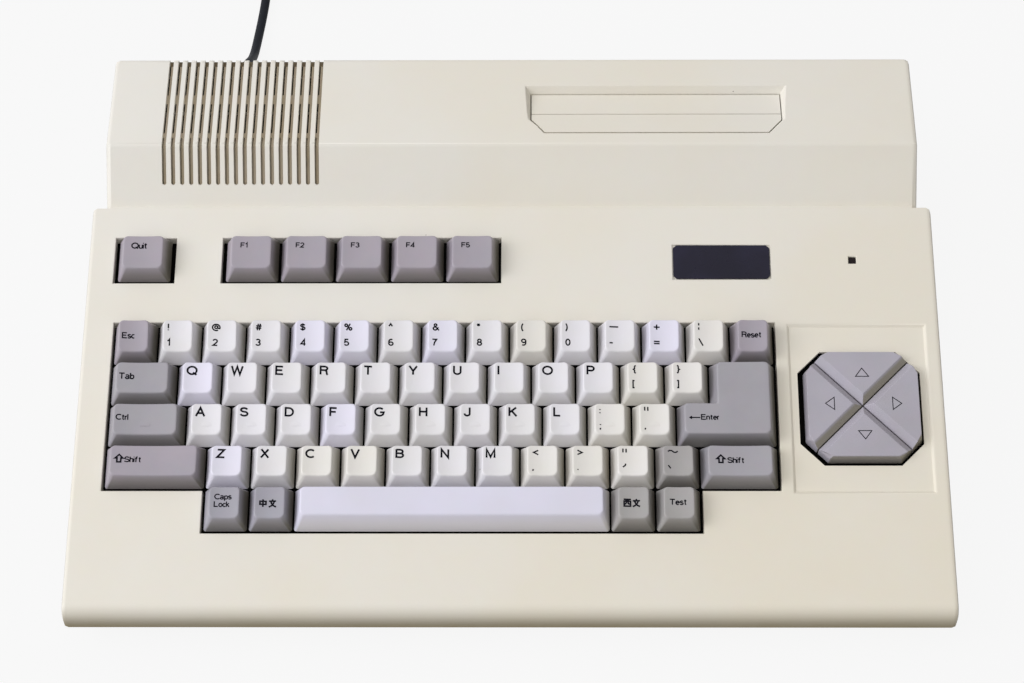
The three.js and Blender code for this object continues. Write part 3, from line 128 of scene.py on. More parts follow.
def dressShader(tree, shader, colour, heights, wear=None, smooth=0, rough=1):
    # heights are (node, output, depth in mm), each laid over the last
    tree.links.new(colour.outputs[2], shader.inputs["Base Color"])
    if wear:
        settings = {"From Min": 0.3, "From Max": 0.7, "To Min": smooth, "To Max": rough}
        handled = addNode(tree, "MapRange", settings, {"Value": (wear, "Fac")})
        tree.links.new(handled.outputs["Result"], shader.inputs["Roughness"])
    normal = None
    for source, output, depth in heights:
        links = {"Height": (source, output), **({"Normal": (normal, "Normal")} if normal else {})}
        normal = addNode(tree, "Bump", {"Distance": depth * metresPerMm, "Strength": 1}, links)
    tree.links.new(normal.outputs["Normal"], shader.inputs["Normal"])


def paintedShade(tree, coordinates, unshaded, colour, starts, full, slope, across=0.9, front=-0.5):
    # Painted shade: darkens the colour on faces turned to across and front, away from the lamps,
    # and a little down. It is deepest at the height full and gone at starts.
    # Heights are in mm above the table, or above the sloped deck where slope is 1
    angle = deck["slope"] * slope
    up = (0, -math.sin(angle), math.cos(angle))
    base = deck["frontZ"] * math.cos(angle) - deck["frontY"] * math.sin(angle)
    low, high = (base * slope * metresPerMm + mm * metresPerMm for mm in (starts, full))
    dot = {"operation": "DOT_PRODUCT"}
    height = addNode(tree, "VectorMath", {**dot, 1: up}, {0: (coordinates, "Object")})
    way = (across, front, -0.1)
    facing = addNode(tree, "VectorMath", {**dot, 1: way}, {0: (coordinates, "Normal")})
    links = {}
    for key, source, ends in (
        (0, height, (low, high)),
        (1, facing, (0.0, 0.75 if slope else 0.5)),
    ):
        settings = {**softStep, "From Min": ends[0], "From Max": ends[1]}
        links[key] = (addNode(tree, "MapRange", settings, {"Value": (source, "Value")}), 0)
    both = addNode(tree, "Math", multiply, links)
    settings = {**mixColours, 7: linear(colour)}
    return addNode(tree, "Mix", settings, {0: (both, 0), 6: (unshaded, 2)})


# Patterns of every moulded plastic, in mm. Real grain is about 0.05 mm and real scratches are
# finer, too fine to show, so both are drawn as coarse as they need to show
moulding = {
    "patchEdges": (0.3, 0.72),  # of the noise, from fresh to aged
    "patchShare": 0.45,  # of the patches, where the ageing also leans
    "handling": 6,
    "handlingShare": 0.06,
    "wear": 22,
    "roughness": (-0.07, 0.09),  # least and most, from the finish's own
    "sink": 9,  # soft waves over the ribs behind a wall
    "scratch": 1.2,
    "stretch": (0.06, 1, 1),  # makes the scratches long in X
    "scratchEdges": (0.66, 0.74),
    "depths": (1.5, 1, -0.5),  # of the waves, the grain and the scratches, in grain depths
    "dustSpacing": 6.25,
    "dustEdge": (0.075, 0.045),  # as shares of that spacing
    "dust": "5f574a",
    # X and Y in metres, between which the ageing grows
    "sides": {"X": (-0.12, 0.19), "Y": (0.02, -0.13)},
}


def mouldedPlastic(
    name, colour, aged, shine, patch, grain, depth, specks=0, lean=0, gloss=0.5, paintedShading=None
):
    # colour drifts to aged in soft patches, and toward the right and the front by lean
    # The shading argument is what the painted-shade function takes after the unshaded colour:
    # painted shade on faces turned from the lamps
    material, tree, shader, coordinates = newMaterial(name)
    place = {"Vector": (coordinates, "Object")}
    mottle = {}
    for key, size, detail, roughness in (
        ("patches", patch, 3, 0.55),
        ("fine", moulding["handling"], 4, 0.6),
        ("wear", moulding["wear"], 4, 0.6),
        ("grain", grain, 2, 0.6),
        ("waves", moulding["sink"], 2, 0.5),
    ):
        settings = {"Scale": 1000 / size, "Detail": detail, "Roughness": roughness}
        mottle[key] = addNode(tree, "TexNoise", settings, place)
    fresh, old = moulding["patchEdges"]
    settings = {**softStep, "From Min": fresh, "From Max": old}
    spread = addNode(tree, "MapRange", settings, {"Value": (mottle["patches"], "Fac")})
    if lean:
        split = addNode(tree, "SeparateXYZ", (), place)
        links = {}
        for key, (axis, (start, end)) in enumerate(moulding["sides"].items()):
            settings = {"From Min": start, "From Max": end, "To Max": lean}
            links[key] = (addNode(tree, "MapRange", settings, {"Value": (split, axis)}), 0)
        along = addNode(tree, "Math", {"operation": "ADD"}, links)
        share = moulding["patchShare"]
        settings = {"operation": "MULTIPLY_ADD", 1: share, "use_clamp": True}
        spread = addNode(tree, "Math", settings, {0: (spread, 0), 2: (along, 0)})
    settings = {**mixColours, 6: linear(colour), 7: linear(aged)}
    base = addNode(tree, "Mix", settings, {0: (spread, 0)})
    settings = {**mixColours, "blend_type": "SOFT_LIGHT", 0: moulding["handlingShare"]}
    last = addNode(tree, "Mix", settings, {6: (base, 2), 7: (mottle["fine"], "Color")})
    # Painted shade laid over the colour
    if paintedShading:
        last = paintedShade(tree, coordinates, last, *paintedShading)
    if specks:
        settings = {"Scale": 1000 / moulding["dustSpacing"], "Randomness": 1}
        dust = addNode(tree, "TexVoronoi", settings, place)
        edge, core = moulding["dustEdge"]
        settings = {**softStep, "From Min": edge, "From Max": core}
        near = addNode(tree, "MapRange", settings, {"Value": (dust, "Distance")})
        chosen = addNode(tree, "SeparateColor", (), {"Color": (dust, "Color")})
        settings = {**softStep, "From Min": 1 - specks, "From Max": 1.001 - specks}
        rare = addNode(tree, "MapRange", settings, {"Value": (chosen, "Red")})
        both = addNode(tree, "Math", multiply, {0: (near, 0), 1: (rare, 0)})
        settings = {**mixColours, 7: linear(moulding["dust"])}
        last = addNode(tree, "Mix", settings, {0: (both, 0), 6: (last, 2)})
    shader.inputs["Specular IOR Level"].default_value = gloss
    mapping = addNode(tree, "Mapping", {"Scale": moulding["stretch"]}, place)
    settings = {"Scale": 1000 / moulding["scratch"]}
    scratches = addNode(tree, "TexNoise", settings, {"Vector": (mapping, "Vector")})
    low, high = moulding["scratchEdges"]
    settings = {**softStep, "From Min": low, "From Max": high}
    lines = addNode(tree, "MapRange", settings, {"Value": (scratches, "Fac")})
    layers = zip((mottle["waves"], mottle["grain"], lines), moulding["depths"])
    heights = [(layer, 0, depth * share) for layer, share in layers]
    least, most = moulding["roughness"]
    dressShader(tree, shader, last, heights, mottle["wear"], shine + least, shine + most)
    return material


# Key caps: roughness, patch, grain, grain depth and share of specks, then painted shade low on the
# sides that face right and front, away from the lamps, as the painted-shade function takes it
# after its colour
whiteCaps = {"surface": (0.42, 30, 0.35, 0.012, 0.02), "sideShade": (8, 0, 1, 0.95, -0.28)}
greyCaps = {"surface": (0.42, 26, 0.35, 0.012), "sideShade": (8.4, 1, 1)}


def capPlastic(kind, name, colour, aged, sideShade):
    return mouldedPlastic(name, colour, aged, *kind["surface"], paintedShading=(sideShade, *kind["sideShade"]))


def stained(tree, coordinates, first, second, patch, detail=3, roughness=0.6):
    # The first colour with patches of the second, and the pattern itself. patch is a size in
    # mm, and where on the pattern a patch starts and is full
    size, low, high = patch
    settings = {"Scale": 1000 / size, "Detail": detail, "Roughness": roughness}
    pattern = addNode(tree, "TexNoise", settings, {"Vector": (coordinates, "Object")})
    settings = {**softStep, "From Min": low, "From Max": high}
    spread = addNode(tree, "MapRange", settings, {"Value": (pattern, "Fac")})
    settings = {**mixColours, 6: linear(first), 7: linear(second)}
    return addNode(tree, "Mix", settings, {0: (spread, "Result")}), pattern


# Metal. Brushed lines are far finer on the real thing, and are drawn as coarse as they need to
# show. Lengths in mm
metalwork = {
    "stain": (14, 0.4, 0.75),
    "brushed": 0.8,
    "stretch": (0.05, 1, 1),
    "depth": 0.006,
    "roughness": (-0.08, 0.14),  # least and most, from the finish's own
}


def sheetMetal(name, colour, dull, shine):
    material, tree, shader, coordinates = newMaterial(name)
    base, stain = stained(tree, coordinates, colour, dull, metalwork["stain"])
    settings = {"Scale": metalwork["stretch"]}
    mapping = addNode(tree, "Mapping", settings, {"Vector": (coordinates, "Object")})
    settings = {"Scale": 1000 / metalwork["brushed"], "Detail": 3, "Roughness": 0.6}
    brushed = addNode(tree, "TexNoise", settings, {"Vector": (mapping, "Vector")})
    shader.inputs["Metallic"].default_value = 1
    heights = [(brushed, "Fac", metalwork["depth"])]
    least, most = metalwork["roughness"]
    dressShader(tree, shader, base, heights, stain, shine + least, shine + most)
    return material


# Circuit boards, with tracks 0.13 mm wide round cells of 3.9 by 2.2 mm: the brick texture's
# unit is 11.1 mm here
laminate = {
    "tracks": {"Scale": 90, "Mortar Size": 0.012, "Brick Width": 0.35, "Row Height": 0.2},
    "trackDepth": 0.03,
    "patch": (8, 0.35, 0.65),
    "roughness": 0.32,
}


def boardLaminate(name, colour, track):
    material, tree, shader, coordinates = newMaterial(name)
    place = {"Vector": (coordinates, "Object")}
    tracks = addNode(tree, "TexBrick", laminate["tracks"], place)
    base = stained(tree, coordinates, colour, track, laminate["patch"], 2, 0.5)[0]
    settings = {**mixColours, 7: linear(track)}
    lines = addNode(tree, "Mix", settings, {0: (tracks, "Fac"), 6: (base, 2)})
    shader.inputs["Roughness"].default_value = laminate["roughness"]
    dressShader(tree, shader, lines, [(tracks, "Fac", laminate["trackDepth"])])
    return material


# Print, thin in small patches
inkLayer = {"patch": (0.9, 0.55, 0.9), "depth": 0.004, "roughness": 0.7, "gloss": 0.1}


def printedInk(name, colour, worn):
    material, tree, shader, coordinates = newMaterial(name)
    base, patches = stained(tree, coordinates, colour, worn, inkLayer["patch"])
    shader.inputs["Roughness"].default_value = inkLayer["roughness"]
    shader.inputs["Specular IOR Level"].default_value = inkLayer["gloss"]
    dressShader(tree, shader, base, [(patches, "Fac", inkLayer["depth"])])
    return material


# Painted shade on the front roll, where it turns away from the lamps: heights in mm where it
# starts and is full, from the table, and the way its faces are turned
caseShade = (26, 12.5, 0, 0.4, -0.9)
# Each finish: name, colour, aged colour, then roughness, patch mm, grain mm, grain depth mm,
# share of specks and lean of the ageing. A comment says what the eye gets
finish = {
    # Satin cream, warmer at the front and right, with painted shade in brown on the front roll
    "case": mouldedPlastic(
        "aged cream ABS, moulded", "e2dfd7", "e0d9c8", 0.46, 80, 0.45, 0.01, 0.012, 0.34,
        paintedShading=("8a7c58", *caseShade),
    ),
    # Yellower and darker than the upper shell: partly its own ageing, partly painted shade for the
    # low front, which also takes the painted shade of the front roll
    "lower": mouldedPlastic(
        "yellowed cream ABS, moulded", "cfc7b3", "c4b99f", 0.5, 60, 0.45, 0.01, 0.012,
        paintedShading=("827453", *caseShade),
    ),
    # Painted shade: dark brown for the shade at the slots' rear ends
    "slotEndShade": mouldedPlastic(
        "moulded cream ABS, painted slot shade", "6b5d44", "5d5039", 0.65, 12, 0.45, 0.01
    ),
    # Grey-brown over cream: dust, and painted shade for the shade in the slots
    "dustAndShade": mouldedPlastic(
        "moulded cream ABS under dust and painted shade", "b9ac97", "aa9c84", 0.6, 20, 0.45, 0.01, 0.012
    ),
    # Caps of one set that aged apart: cool white, warm white, lilac and cream
    # The last colour on each line is the painted shade low on the cap's sides turned from the
    # lamps
    "white": capPlastic(whiteCaps, "moulded PBT, cool white", "e1dfe4", "dcdada", "98958c"),
    "warm": capPlastic(whiteCaps, "moulded PBT, warm white", "e2dfdc", "dfdcd5", "989488"),
    "lavender": capPlastic(whiteCaps, "moulded PBT, lavender white", "e0ddec", "dbd9e4", "979591"),
    "beige": capPlastic(whiteCaps, "moulded PBT, yellowed white", "dedbd5", "d9d5cb", "969082"),
    # Function caps in mid greys that lean to mauve, neutral, blue or warm
    "grey": capPlastic(greyCaps, "moulded PBT, mauve grey", "a49ca5", "9e98a1", "5b574e"),
    "neutral": capPlastic(greyCaps, "moulded PBT, neutral grey", "a09da3", "9a979d", "5b584f"),
    "slate": capPlastic(greyCaps, "moulded PBT, cool grey", "a3a1ab", "9c9aa3", "5d5950"),
    "stone": capPlastic(greyCaps, "moulded PBT, warm grey", "a3a09f", "9c9997", "5d5950"),
    # Lilac and a little polished by thumbs, with painted shade low on its sides
    "spaceBar": mouldedPlastic(
        "moulded PBT, polished lavender", "dad8e8", "d5d3e0", 0.4, 40, 0.35, 0.012, 0.01,
        paintedShading=("c9c5c1", 8, 0, 1),
    ),
    # Mauve, lighter than the function caps, with painted shade low on the sides turned from the
    # lamps
    "pad": mouldedPlastic(
        "moulded PBT, light mauve grey", "aaa6b0", "a4a0a8", 0.4, 26, 0.35, 0.012,
        paintedShading=("8b8679", 2.6, 1.4, 1),
    ),
    # Deep navy with a low sheen
    "badge": mouldedPlastic(
        "navy enamel on metal plate", "1b1928", "222033", 0.3, 20, 0.4, 0.004, gloss=0.2
    ),
    # Nearly black and glossy, an unlit lamp behind it
    "lens": mouldedPlastic(
        "moulded smoked acrylic", "0c0a0d", "1a1012", 0.12, 5, 0.6, 0.002, gloss=0.15
    ),
    # Satin black with a fine tooth
    "black": mouldedPlastic("moulded black phenolic", "1c1b1d", "262427", 0.4, 14, 0.4, 0.01),
    # Matt dark grey, rough to the touch
    "rubber": mouldedPlastic("moulded dark grey rubber", "2a292a", "373534", 0.75, 10, 0.7, 0.04),
    # Blue-black, waxy and matt
    "lead": mouldedPlastic(
        "extruded navy-black PVC", "0d1119", "12161f", 0.6, 18, 0.5, 0.01, gloss=0.22
    ),
    # Bluish grey metal, dull where it has stained
    "steel": sheetMetal("zinc-plated sheet steel", "b9b8b2", "8f8d86", 0.34),
    # Pale metal with a straw tint, brighter than the steel
    "brass": sheetMetal("turned brass, nickelled", "c9c4b4", "a79f86", 0.26),
    # Light grey metal with a soft sheen
    "aluminium": sheetMetal("bare extruded aluminium", "c2c3c4", "a4a5a6", 0.4),
    # Dark green lacquer with lighter tracks
    "board": boardLaminate("glass laminate under green lacquer", "1f4a33", "2c6144"),
    # Even light grey, softly shiny
    "ribbon": mouldedPlastic("extruded grey PVC ribbon", "8f9192", "7f8182", 0.5, 6, 0.9, 0.05),
    # Flat near-black print, a little grey where it has worn
    "ink": printedInk("printed navy-black ink", "0b0a14", "211f2c"),
    # Signal yellow, plain and shiny
    "yellow": mouldedPlastic("moulded yellow PP", "d9b12e", "c9a22a", 0.45, 6, 0.4, 0.01),
    # Plain white print, a little grey where it has worn
    "whiteInk": printedInk("printed white ink", "dcdcd8", "b9b9b4"),
    # Painted shade: black that gives nothing back, for what lies in the case's shade
    "darkness": mouldedPlastic(
        "matt black, painted shade", "0a0908", "100e0c", 0.7, 20, 0.6, 0.01, gloss=0.08
    ),
}
print("materials made")


# Mesh helpers. Points are in mm and become metres here
def makePiece(name, points, faces, material, smooth=True, sharp=40):
    mesh = bpy.data.meshes.new(name)
    mesh.from_pydata([metres(p) for p in points], [], faces)
    mesh.validate()
    return finishPiece(name, mesh, material, smooth, sharp)


def finishPiece(name, mesh, material, smooth=True, sharp=40):
    mesh.materials.clear()
    mesh.materials.append(finish[material])
    for face in mesh.polygons:
        face.use_smooth = smooth
    piece = bpy.data.objects.new(name, mesh)
    bpy.context.collection.objects.link(piece)
    if smooth:
        mesh.set_sharp_from_angle(angle=math.radians(sharp))
        piece.modifiers.new("even shading", "WEIGHTED_NORMAL").keep_sharp = True
    return piece


def mount(piece, body="case", replaced=()):
    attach(piece, body)
    if replaced:
        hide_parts(*replaced)
    return piece


def anywhere(x, y, z):
    return True


def dressNode(
    node, name, material, body="case", bevel=0.3, segments=2, crease=28, groups=(), widen=0,
):
    # The CAD node's own shape with its edges softened
    # groups are (place test, width, segments, least angle), widen moves the four sides out
    mesh = bpy.data.meshes.new(name)
    shape = bmesh.new()
    shape.from_mesh(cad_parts[node].data)
    bmesh.ops.remove_doubles(shape, verts=shape.verts, dist=1e-6)
    flat = math.radians(0.3)
    bmesh.ops.dissolve_limit(shape, angle_limit=flat, verts=shape.verts, edges=shape.edges)
    near = 0.4 * metresPerMm  # how near to its side a vertex lies
    for axis in (0, 1) if widen else ():
        ends = [pick(v.co[axis] for v in shape.verts) for pick in (min, max)]
        for vertex in shape.verts:
            for end, way in zip(ends, (-1, 1)):
                if abs(vertex.co[axis] - end) < near:
                    vertex.co[axis] += way * widen * metresPerMm
    rounded = shape.edges.layers.int.new("rounded")
    for chosen, width, steps, angle in [*groups, (anywhere, bevel, segments, crease)]:
        edges = [
            e
            for e in shape.edges
            if e.is_manifold
            and not e[rounded]
            and e.calc_face_angle() > math.radians(angle)
            and chosen(*((e.verts[0].co + e.verts[1].co) / 2 / metresPerMm))
        ]
        if width and edges:
            result = bmesh.ops.bevel(
                shape, geom=edges, offset=width * metresPerMm, offset_type="OFFSET",
                segments=steps, profile=0.5, affect="EDGES", clamp_overlap=True,
            )
            for edge in result["edges"]:
                edge[rounded] = 1
    shape.to_mesh(mesh)
    shape.free()
    return mount(finishPiece(name, mesh, material), body, [node])


def ringFaces(start, count, rings):
    faces = []
    for r in range(rings - 1):
        for i in range(count):
            a, b = start + r * count + i, start + r * count + (i + 1) % count
            faces.append((a, b, b + count, a + count))
    return faces


def lathe(name, profile, centre, material, steps=32, axis=(0, 1, 0), replaced=()):
    # profile is (radius, distance along the axis), open at both ends unless a radius is 0
    points = []
    along = Vector(axis).normalized()
    side = along.orthogonal().normalized()
    third = along.cross(side)
    for radius, distance in profile:
        for i in range(steps):
            angle = 2 * math.pi * i / steps
            out = side * math.cos(angle) + third * math.sin(angle)
            points.append(Vector(centre) + along * distance + out * max(radius, 0.001))
    piece = makePiece(name, points, ringFaces(0, steps, len(profile)), material, sharp=50)
    return mount(piece, replaced=replaced)


def roundedOutline(corners, radii, steps, parts):
    # Right-angled corners only. Every outline with the same counts has matching points
    points = []
    corners = [Vector(c) for c in corners]
    for i, corner in enumerate(corners):
        following = corners[(i + 1) % len(corners)]
        back = (corners[i - 1] - corner).normalized() * radii[i]
        ahead = (following - corner).normalized() * radii[i]
        centre = corner + back + ahead
        for k in range(steps + 1):
            angle = math.pi / 2 * k / steps
            points.append(centre - ahead * math.cos(angle) - back * math.sin(angle))
        end = following - (following - corner).normalized() * radii[(i + 1) % len(corners)]
        start = points[-1]
        points += [start.lerp(end, k / parts) for k in range(1, parts)]
    return points


def rectangle(halfWidth, halfHeight, radius, steps, parts):
    w, h = halfWidth, halfHeight
    return roundedOutline([(-w, -h), (w, -h), (w, h), (-w, h)], [radius] * 4, steps, parts)


def loft(name, rings, material):
    # Closed body through rings of equal count, from front to back
    count, last = len(rings[0]), len(rings) - 1
    faces = ringFaces(0, count, len(rings))
    faces += [tuple(range(count))[::-1], tuple(range(last * count, (last + 1) * count))]
    points = [point for ring in rings for point in ring]
    return makePiece(name, points, [face[::-1] for face in faces], material)


# Mains lead, from its relief to the plug, with the spare length coiled behind
lead = {
    "diameter": 4.4,
    "route": [
        (-127.9, 154.3, 21.8), (-127.8, 158, 21.5), (-127.5, 163, 19.6), (-127.2, 168, 16),
        (-126.9, 173, 11.4), (-126.6, 178, 7.2), (-126.3, 183, 4.2), (-125.9, 188, 2.7),
        (-125.3, 194, 2.2), (-124.5, 201, 2.2), (-123.7, 209, 2.2), (-123, 218, 2.2),
        (-122.5, 230, 2.2), (-122.3, 243, 2.2), (-122.3, 257.3, 2.2),
    ],
    "coilCentre": (-87.15, 262),
    "coilRadius": 35.15,
    "coilStep": 5,
    "turns": 7,
    "pointsPerTurn": 36,
    "layers": (2.2, 5),  # height of the lower turns, and of the upper ones above them
    "climb": (3.25, 0.5),  # turn where the coil climbs to its upper layer, and over how much
    "tail": [(-122.3, 266, 7.2), (-122.3, 276, 7.2), (-122.3, 286, 7.2), (-122.3, 296, 7.2)],
}


def coilPoint(turn):
    angle = math.pi - 2 * math.pi * turn
    radius = lead["coilRadius"] - lead["coilStep"] * min(turn, lead["turns"] - turn)
    start, length = lead["climb"]
    share = min(max((turn - start) / length, 0), 1)
    height = lead["layers"][0] + lead["layers"][1] * share * share * (3 - 2 * share)
    x, y = lead["coilCentre"]
    return (x + radius * math.cos(angle), y + radius * math.sin(angle), height)


def smoothed(points, steps):
    # A curve through every point, for an even bend
    result = []
    for i in range(len(points) - 1):
        around = [points[max(i - 1, 0)], points[i], points[i + 1]]
        around.append(points[min(i + 2, len(points) - 1)])
        p0, p1, p2, p3 = (Vector(p) for p in around)
        square, cube = 2 * p0 - 5 * p1 + 4 * p2 - p3, 3 * p1 - p0 - 3 * p2 + p3
        for k in range(steps):
            t = k / steps
            result.append(0.5 * (2 * p1 + (p2 - p0) * t + square * t * t + cube * t**3))
    result.append(Vector(points[-1]))
    return result


def makeLead():
    count = lead["turns"] * lead["pointsPerTurn"]
    coil = [coilPoint(i / lead["pointsPerTurn"]) for i in range(count + 1)]
    route = smoothed(lead["route"], 3) + coil[1:] + smoothed(lead["tail"], 2)
    route = [Vector(p) for p in route]
    curve = bpy.data.curves.new("mains_lead", "CURVE")
    curve.dimensions = "3D"
    spline = curve.splines.new("POLY")
    spline.points.add(len(route) - 1)
    for point, place in zip(spline.points, route):
        point.co = (*metres(place), 1)
    spline.use_smooth = True
    curve.bevel_depth = lead["diameter"] / 2 * metresPerMm
    curve.bevel_resolution = 5
    curve.use_fill_caps = True
    curve.materials.append(finish["lead"])
    piece = bpy.data.objects.new("mains_lead", curve)
    bpy.context.collection.objects.link(piece)
    mount(piece, "case", ["mains_cord", "cord_coil"])
    length = sum((b - a).length for a, b in zip(route, route[1:]))
    return piece, route, length


# A flat strap round the coil's turns, on the side away from the lead
coilTie = {
    "inner": 15.3, "outer": 37.5, "low": 0.1, "high": 9.6, "width": 7, "thickness": 0.7,
    "clear": 0.6,  # of the inner face above the table
    "corner": 3.2,
}


def makeTie(tie):
    x, y = lead["coilCentre"]
    half, thick, clear = tie["width"] / 2, tie["thickness"], tie["clear"]

    def loop(grow):
        low, high = tie["low"] + clear - min(grow, clear), tie["high"] + grow
        near, far = tie["inner"] - grow, tie["outer"] + grow
        corners = [(near, low), (far, low), (far, high), (near, high)]
        return roundedOutline(corners, [tie["corner"] + grow] * 4, 5, 2)

    rings = [(loop(0), -half), (loop(0), half), (loop(thick), half), (loop(thick), -half)]
    points = [(x + r, y + offset, z) for ring, offset in rings for r, z in ring]
    count = len(rings[0][0])
    faces = ringFaces(0, count, 4)
    faces += [
        (3 * count + i, 3 * count + (i + 1) % count, (i + 1) % count, i) for i in range(count)
    ]
    return mount(makePiece("lead_tie", points, faces, "rubber"))


# Flat two-pin plug. Sections are Y, half width, half height and corner
plug = {
    "centre": (-122.3, 7.2),  # X and Z
    "sleeve": [
        (296.3, 2.6), (297, 3.3), (299, 3.5), (299.4, 3), (300.2, 3), (300.6, 3.6), (302.4, 3.7)
    ],
    "sections": [
        (302.4, 3.9, 3.7, 3.4), (304, 4.6, 4.2, 3.4), (306.3, 7.6, 5.2, 3.2),
        (309, 9.8, 6.4, 3.2), (313, 10.8, 7.1, 3.2), (316, 11, 7.2, 3.2), (319, 10.2, 7.2, 3.2),
        (321, 10.6, 7.2, 3.2), (323, 10.2, 7.2, 3.2), (325, 10.6, 7.2, 3.2),
        (327, 10.2, 7.2, 3.2), (330, 11, 7.2, 3.2), (335.4, 11, 7.2, 3.2),
        (336.1, 10.6, 6.8, 3), (336.3, 9.9, 6.1, 2.4),
    ],
    "pinSpacing": 12.7,
    "pin": [(335, 0.75, 3.15), (351.3, 0.75, 3.15), (352.6, 0.675, 2.35), (353.3, 0.375, 1.55)],
}


def makePlug():
    x, z = plug["centre"]
    start = plug["sleeve"][0][0]
    profile = [(radius, y - start) for y, radius in plug["sleeve"]]
    made = [lathe("plug_sleeve", profile, (x, start, z), "lead")]
    rings = [
        [(x + a, y, z + b) for a, b in rectangle(wide, high, corner, 5, 2)]
        for y, wide, high, corner in plug["sections"]
    ]
    made.append(mount(loft("plug_body", rings, "lead"), "case", ["mains_plug"]))
    for number, side in enumerate((-1, 1), 1):
        across = x + side * plug["pinSpacing"] / 2
        rings = [
            [(across + p, y, z + q) for p, q in rectangle(a, b, min(0.25, a * 0.5), 2, 1)]
            for y, a, b in plug["pin"]
        ]
        made.append(mount(loft(f"plug_pin_{number}", rings, "brass")))
    return made


# Strain relief, tapered and ribbed. Profiles are radius and distance from the wall
relief = {
    "place": (-127.9, 130, 21.8),
    "length": 24,
    "flange": [(0, 0.3), (6.2, 0.3), (6.6, 0.7), (6.6, 1.7), (6.2, 2), (5.2, 2.2)],
    "ribs": 6,
    "firstRib": 3,
    "ribPitch": 3.3,
    "rib": [(0, 0), (0, 1.9), (0.75, 2.1), (0.75, 3)],  # depth and distance
    "radius": 5,
    "taper": 1.8,
    "mouth": [(3.4, 22.9), (3.3, 23.7), (3, 24), (2.1, 24)],
}


def makeRelief():
    profile = list(relief["flange"])
    for i in range(relief["ribs"]):
        y = relief["firstRib"] + i * relief["ribPitch"]
        wide = relief["radius"] - relief["taper"] * (y / relief["length"])
        profile += [(wide - depth, y + along) for depth, along in relief["rib"]]
    profile += relief["mouth"]
    lathe("cord_strain_relief", profile, relief["place"], "lead", replaced=["cord_relief"])


makeRelief()
leadPiece, leadRoute, leadLength = makeLead()
plugPieces = makePlug()
tiePiece = makeTie(coilTie)
print("mains lead made,", round(leadLength), "mm")


# Key caps. Lengths in mm: sizes at the base, insets to the top face, heights above the base
caps = {
    "base": -1.5,  # below the deck's surface
    "front": 8.3,
    "rear": 8.9,
    "side": 2.8,
    "frontInset": 3.2,
    "rearInset": 1.4,
    "dish": 0.7,
    "wall": 1.4,
    "stem": 4.4,
    "stemTip": -8.7,
    "baseCorners": [1.1, 1.1, 0.9, 0.9],
    "topCorners": [2.3, 2.3, 2.0, 2.0],
    "enterBaseCorners": [1.1, 1.1, 0.9, 0.9, 1.2, 0.9],
    "enterTopCorners": [2.3, 2.3, 2.0, 2.0, 1.2, 2.0],
    "innerCorner": 0.6,
    "sideShares": (0, 0.06, 0.5, 0.88, 0.935),  # rings up the side
    "edge": ((0, 0.26), (0.16, 0.11), (0.42, 0.03), (0.8, 0), (1.5, 0)),  # inset, drop
    "topShares": (0.75, 0.5, 0.25),  # rings toward the middle
    "focus": (0, 0.8),  # where those rings meet
    "pitch": 19.05,
    "gap": 0.8,
}


def rectangleCorners(width, depth):
    w, d = width / 2, depth / 2

    def corners(side, front, rear):
        left, right, low, high = -w + side, w - side, -d + front, d - rear
        return [(left, low), (right, low), (right, high), (left, high)]

    return corners


def dishedTop(width, depth, dish, frontInset, crown=0, rises=(0, 0)):
    half = width / 2 - caps["side"]
    front, rear = -depth / 2 + frontInset, depth / 2 - caps["rearInset"]

    def height(x, s):
        share = (s - front) / (rear - front)
        across = min(abs(x) / half, 1)
        curve = dish * (1 - across**2)
        bulge = crown * (1 - min(abs(2 * share - 1), 1) ** 2)
        low, high = caps["front"] + rises[0], caps["rear"] + rises[1]
        return low + (high - low) * share - curve + bulge

    return height


def capMesh(
    name, corners, height, place, material, frontInset=caps["frontInset"],
    stems=((0, 0),), focus=caps["focus"],
):
    # corners and height are functions of the cap's plan and of its top's surface
    x0, s0 = place
    sides = len(corners(0, 0, 0))
    isEnter = sides == 6
    baseRadii = caps["enterBaseCorners" if isEnter else "baseCorners"]
    topRadii = caps["enterTopCorners" if isEnter else "topCorners"]
    steps, parts, wall = 5, 6, caps["wall"]
    points = []

    def add(x, s, n):
        points.append(onDeck(x0 + x, s0 + s, caps["base"] + n))

    def outline(grow, radii, low=(0, 0, 0)):
        return roundedOutline(corners(*(v + grow for v in low)), radii, steps, parts)

    topInsets = (caps["side"], frontInset, caps["rearInset"])

    def topOutline(grow):
        return outline(grow, [max(r - grow, 0.3) for r in topRadii], topInsets)

    base, top = outline(0, baseRadii), topOutline(0)
    count = len(base)
    roof = caps["front"] - caps["dish"] - wall
    inner = [caps["innerCorner"]] * sides
    for ring, n in ((outline(wall, inner, topInsets), roof), (outline(wall, inner), 0)):
        for x, s in ring:
            add(x, s, n)
    for share in caps["sideShares"]:
        for (bx, bs), (tx, ts) in zip(base, top):
            add(bx + (tx - bx) * share, bs + (ts - bs) * share, height(tx, ts) * share)
    for grow, drop in caps["edge"]:
        for x, s in topOutline(grow):
            add(x, s, height(x, s) - drop)
    cx, cs = focus
    for share in caps["topShares"]:
        for x, s in topOutline(caps["edge"][-1][0]):
            px, ps = cx + (x - cx) * share, cs + (s - cs) * share
            add(px, ps, height(px, ps))
    rings = len(points) // count
    faces = ringFaces(0, count, rings)
    add(cx, cs, height(cx, cs))
    last = (rings - 1) * count
    faces += [(last + i, last + (i + 1) % count, rings * count) for i in range(count)]
    faces.append(tuple(range(count))[::-1])
    half = caps["stem"] / 2
    for sx, ss in stems:
        first = len(points)
        for n in (caps["stemTip"], roof + wall / 2):
            for a, b in ((-half, -half), (half, -half), (half, half), (-half, half)):
                add(sx + a, ss + b, n)
        faces += ringFaces(first, 4, 2)
        faces += [(first + 3, first + 2, first + 1, first)]
        faces += [(first + 4, first + 5, first + 6, first + 7)]
    return makePiece(name, points, faces, material, sharp=48)


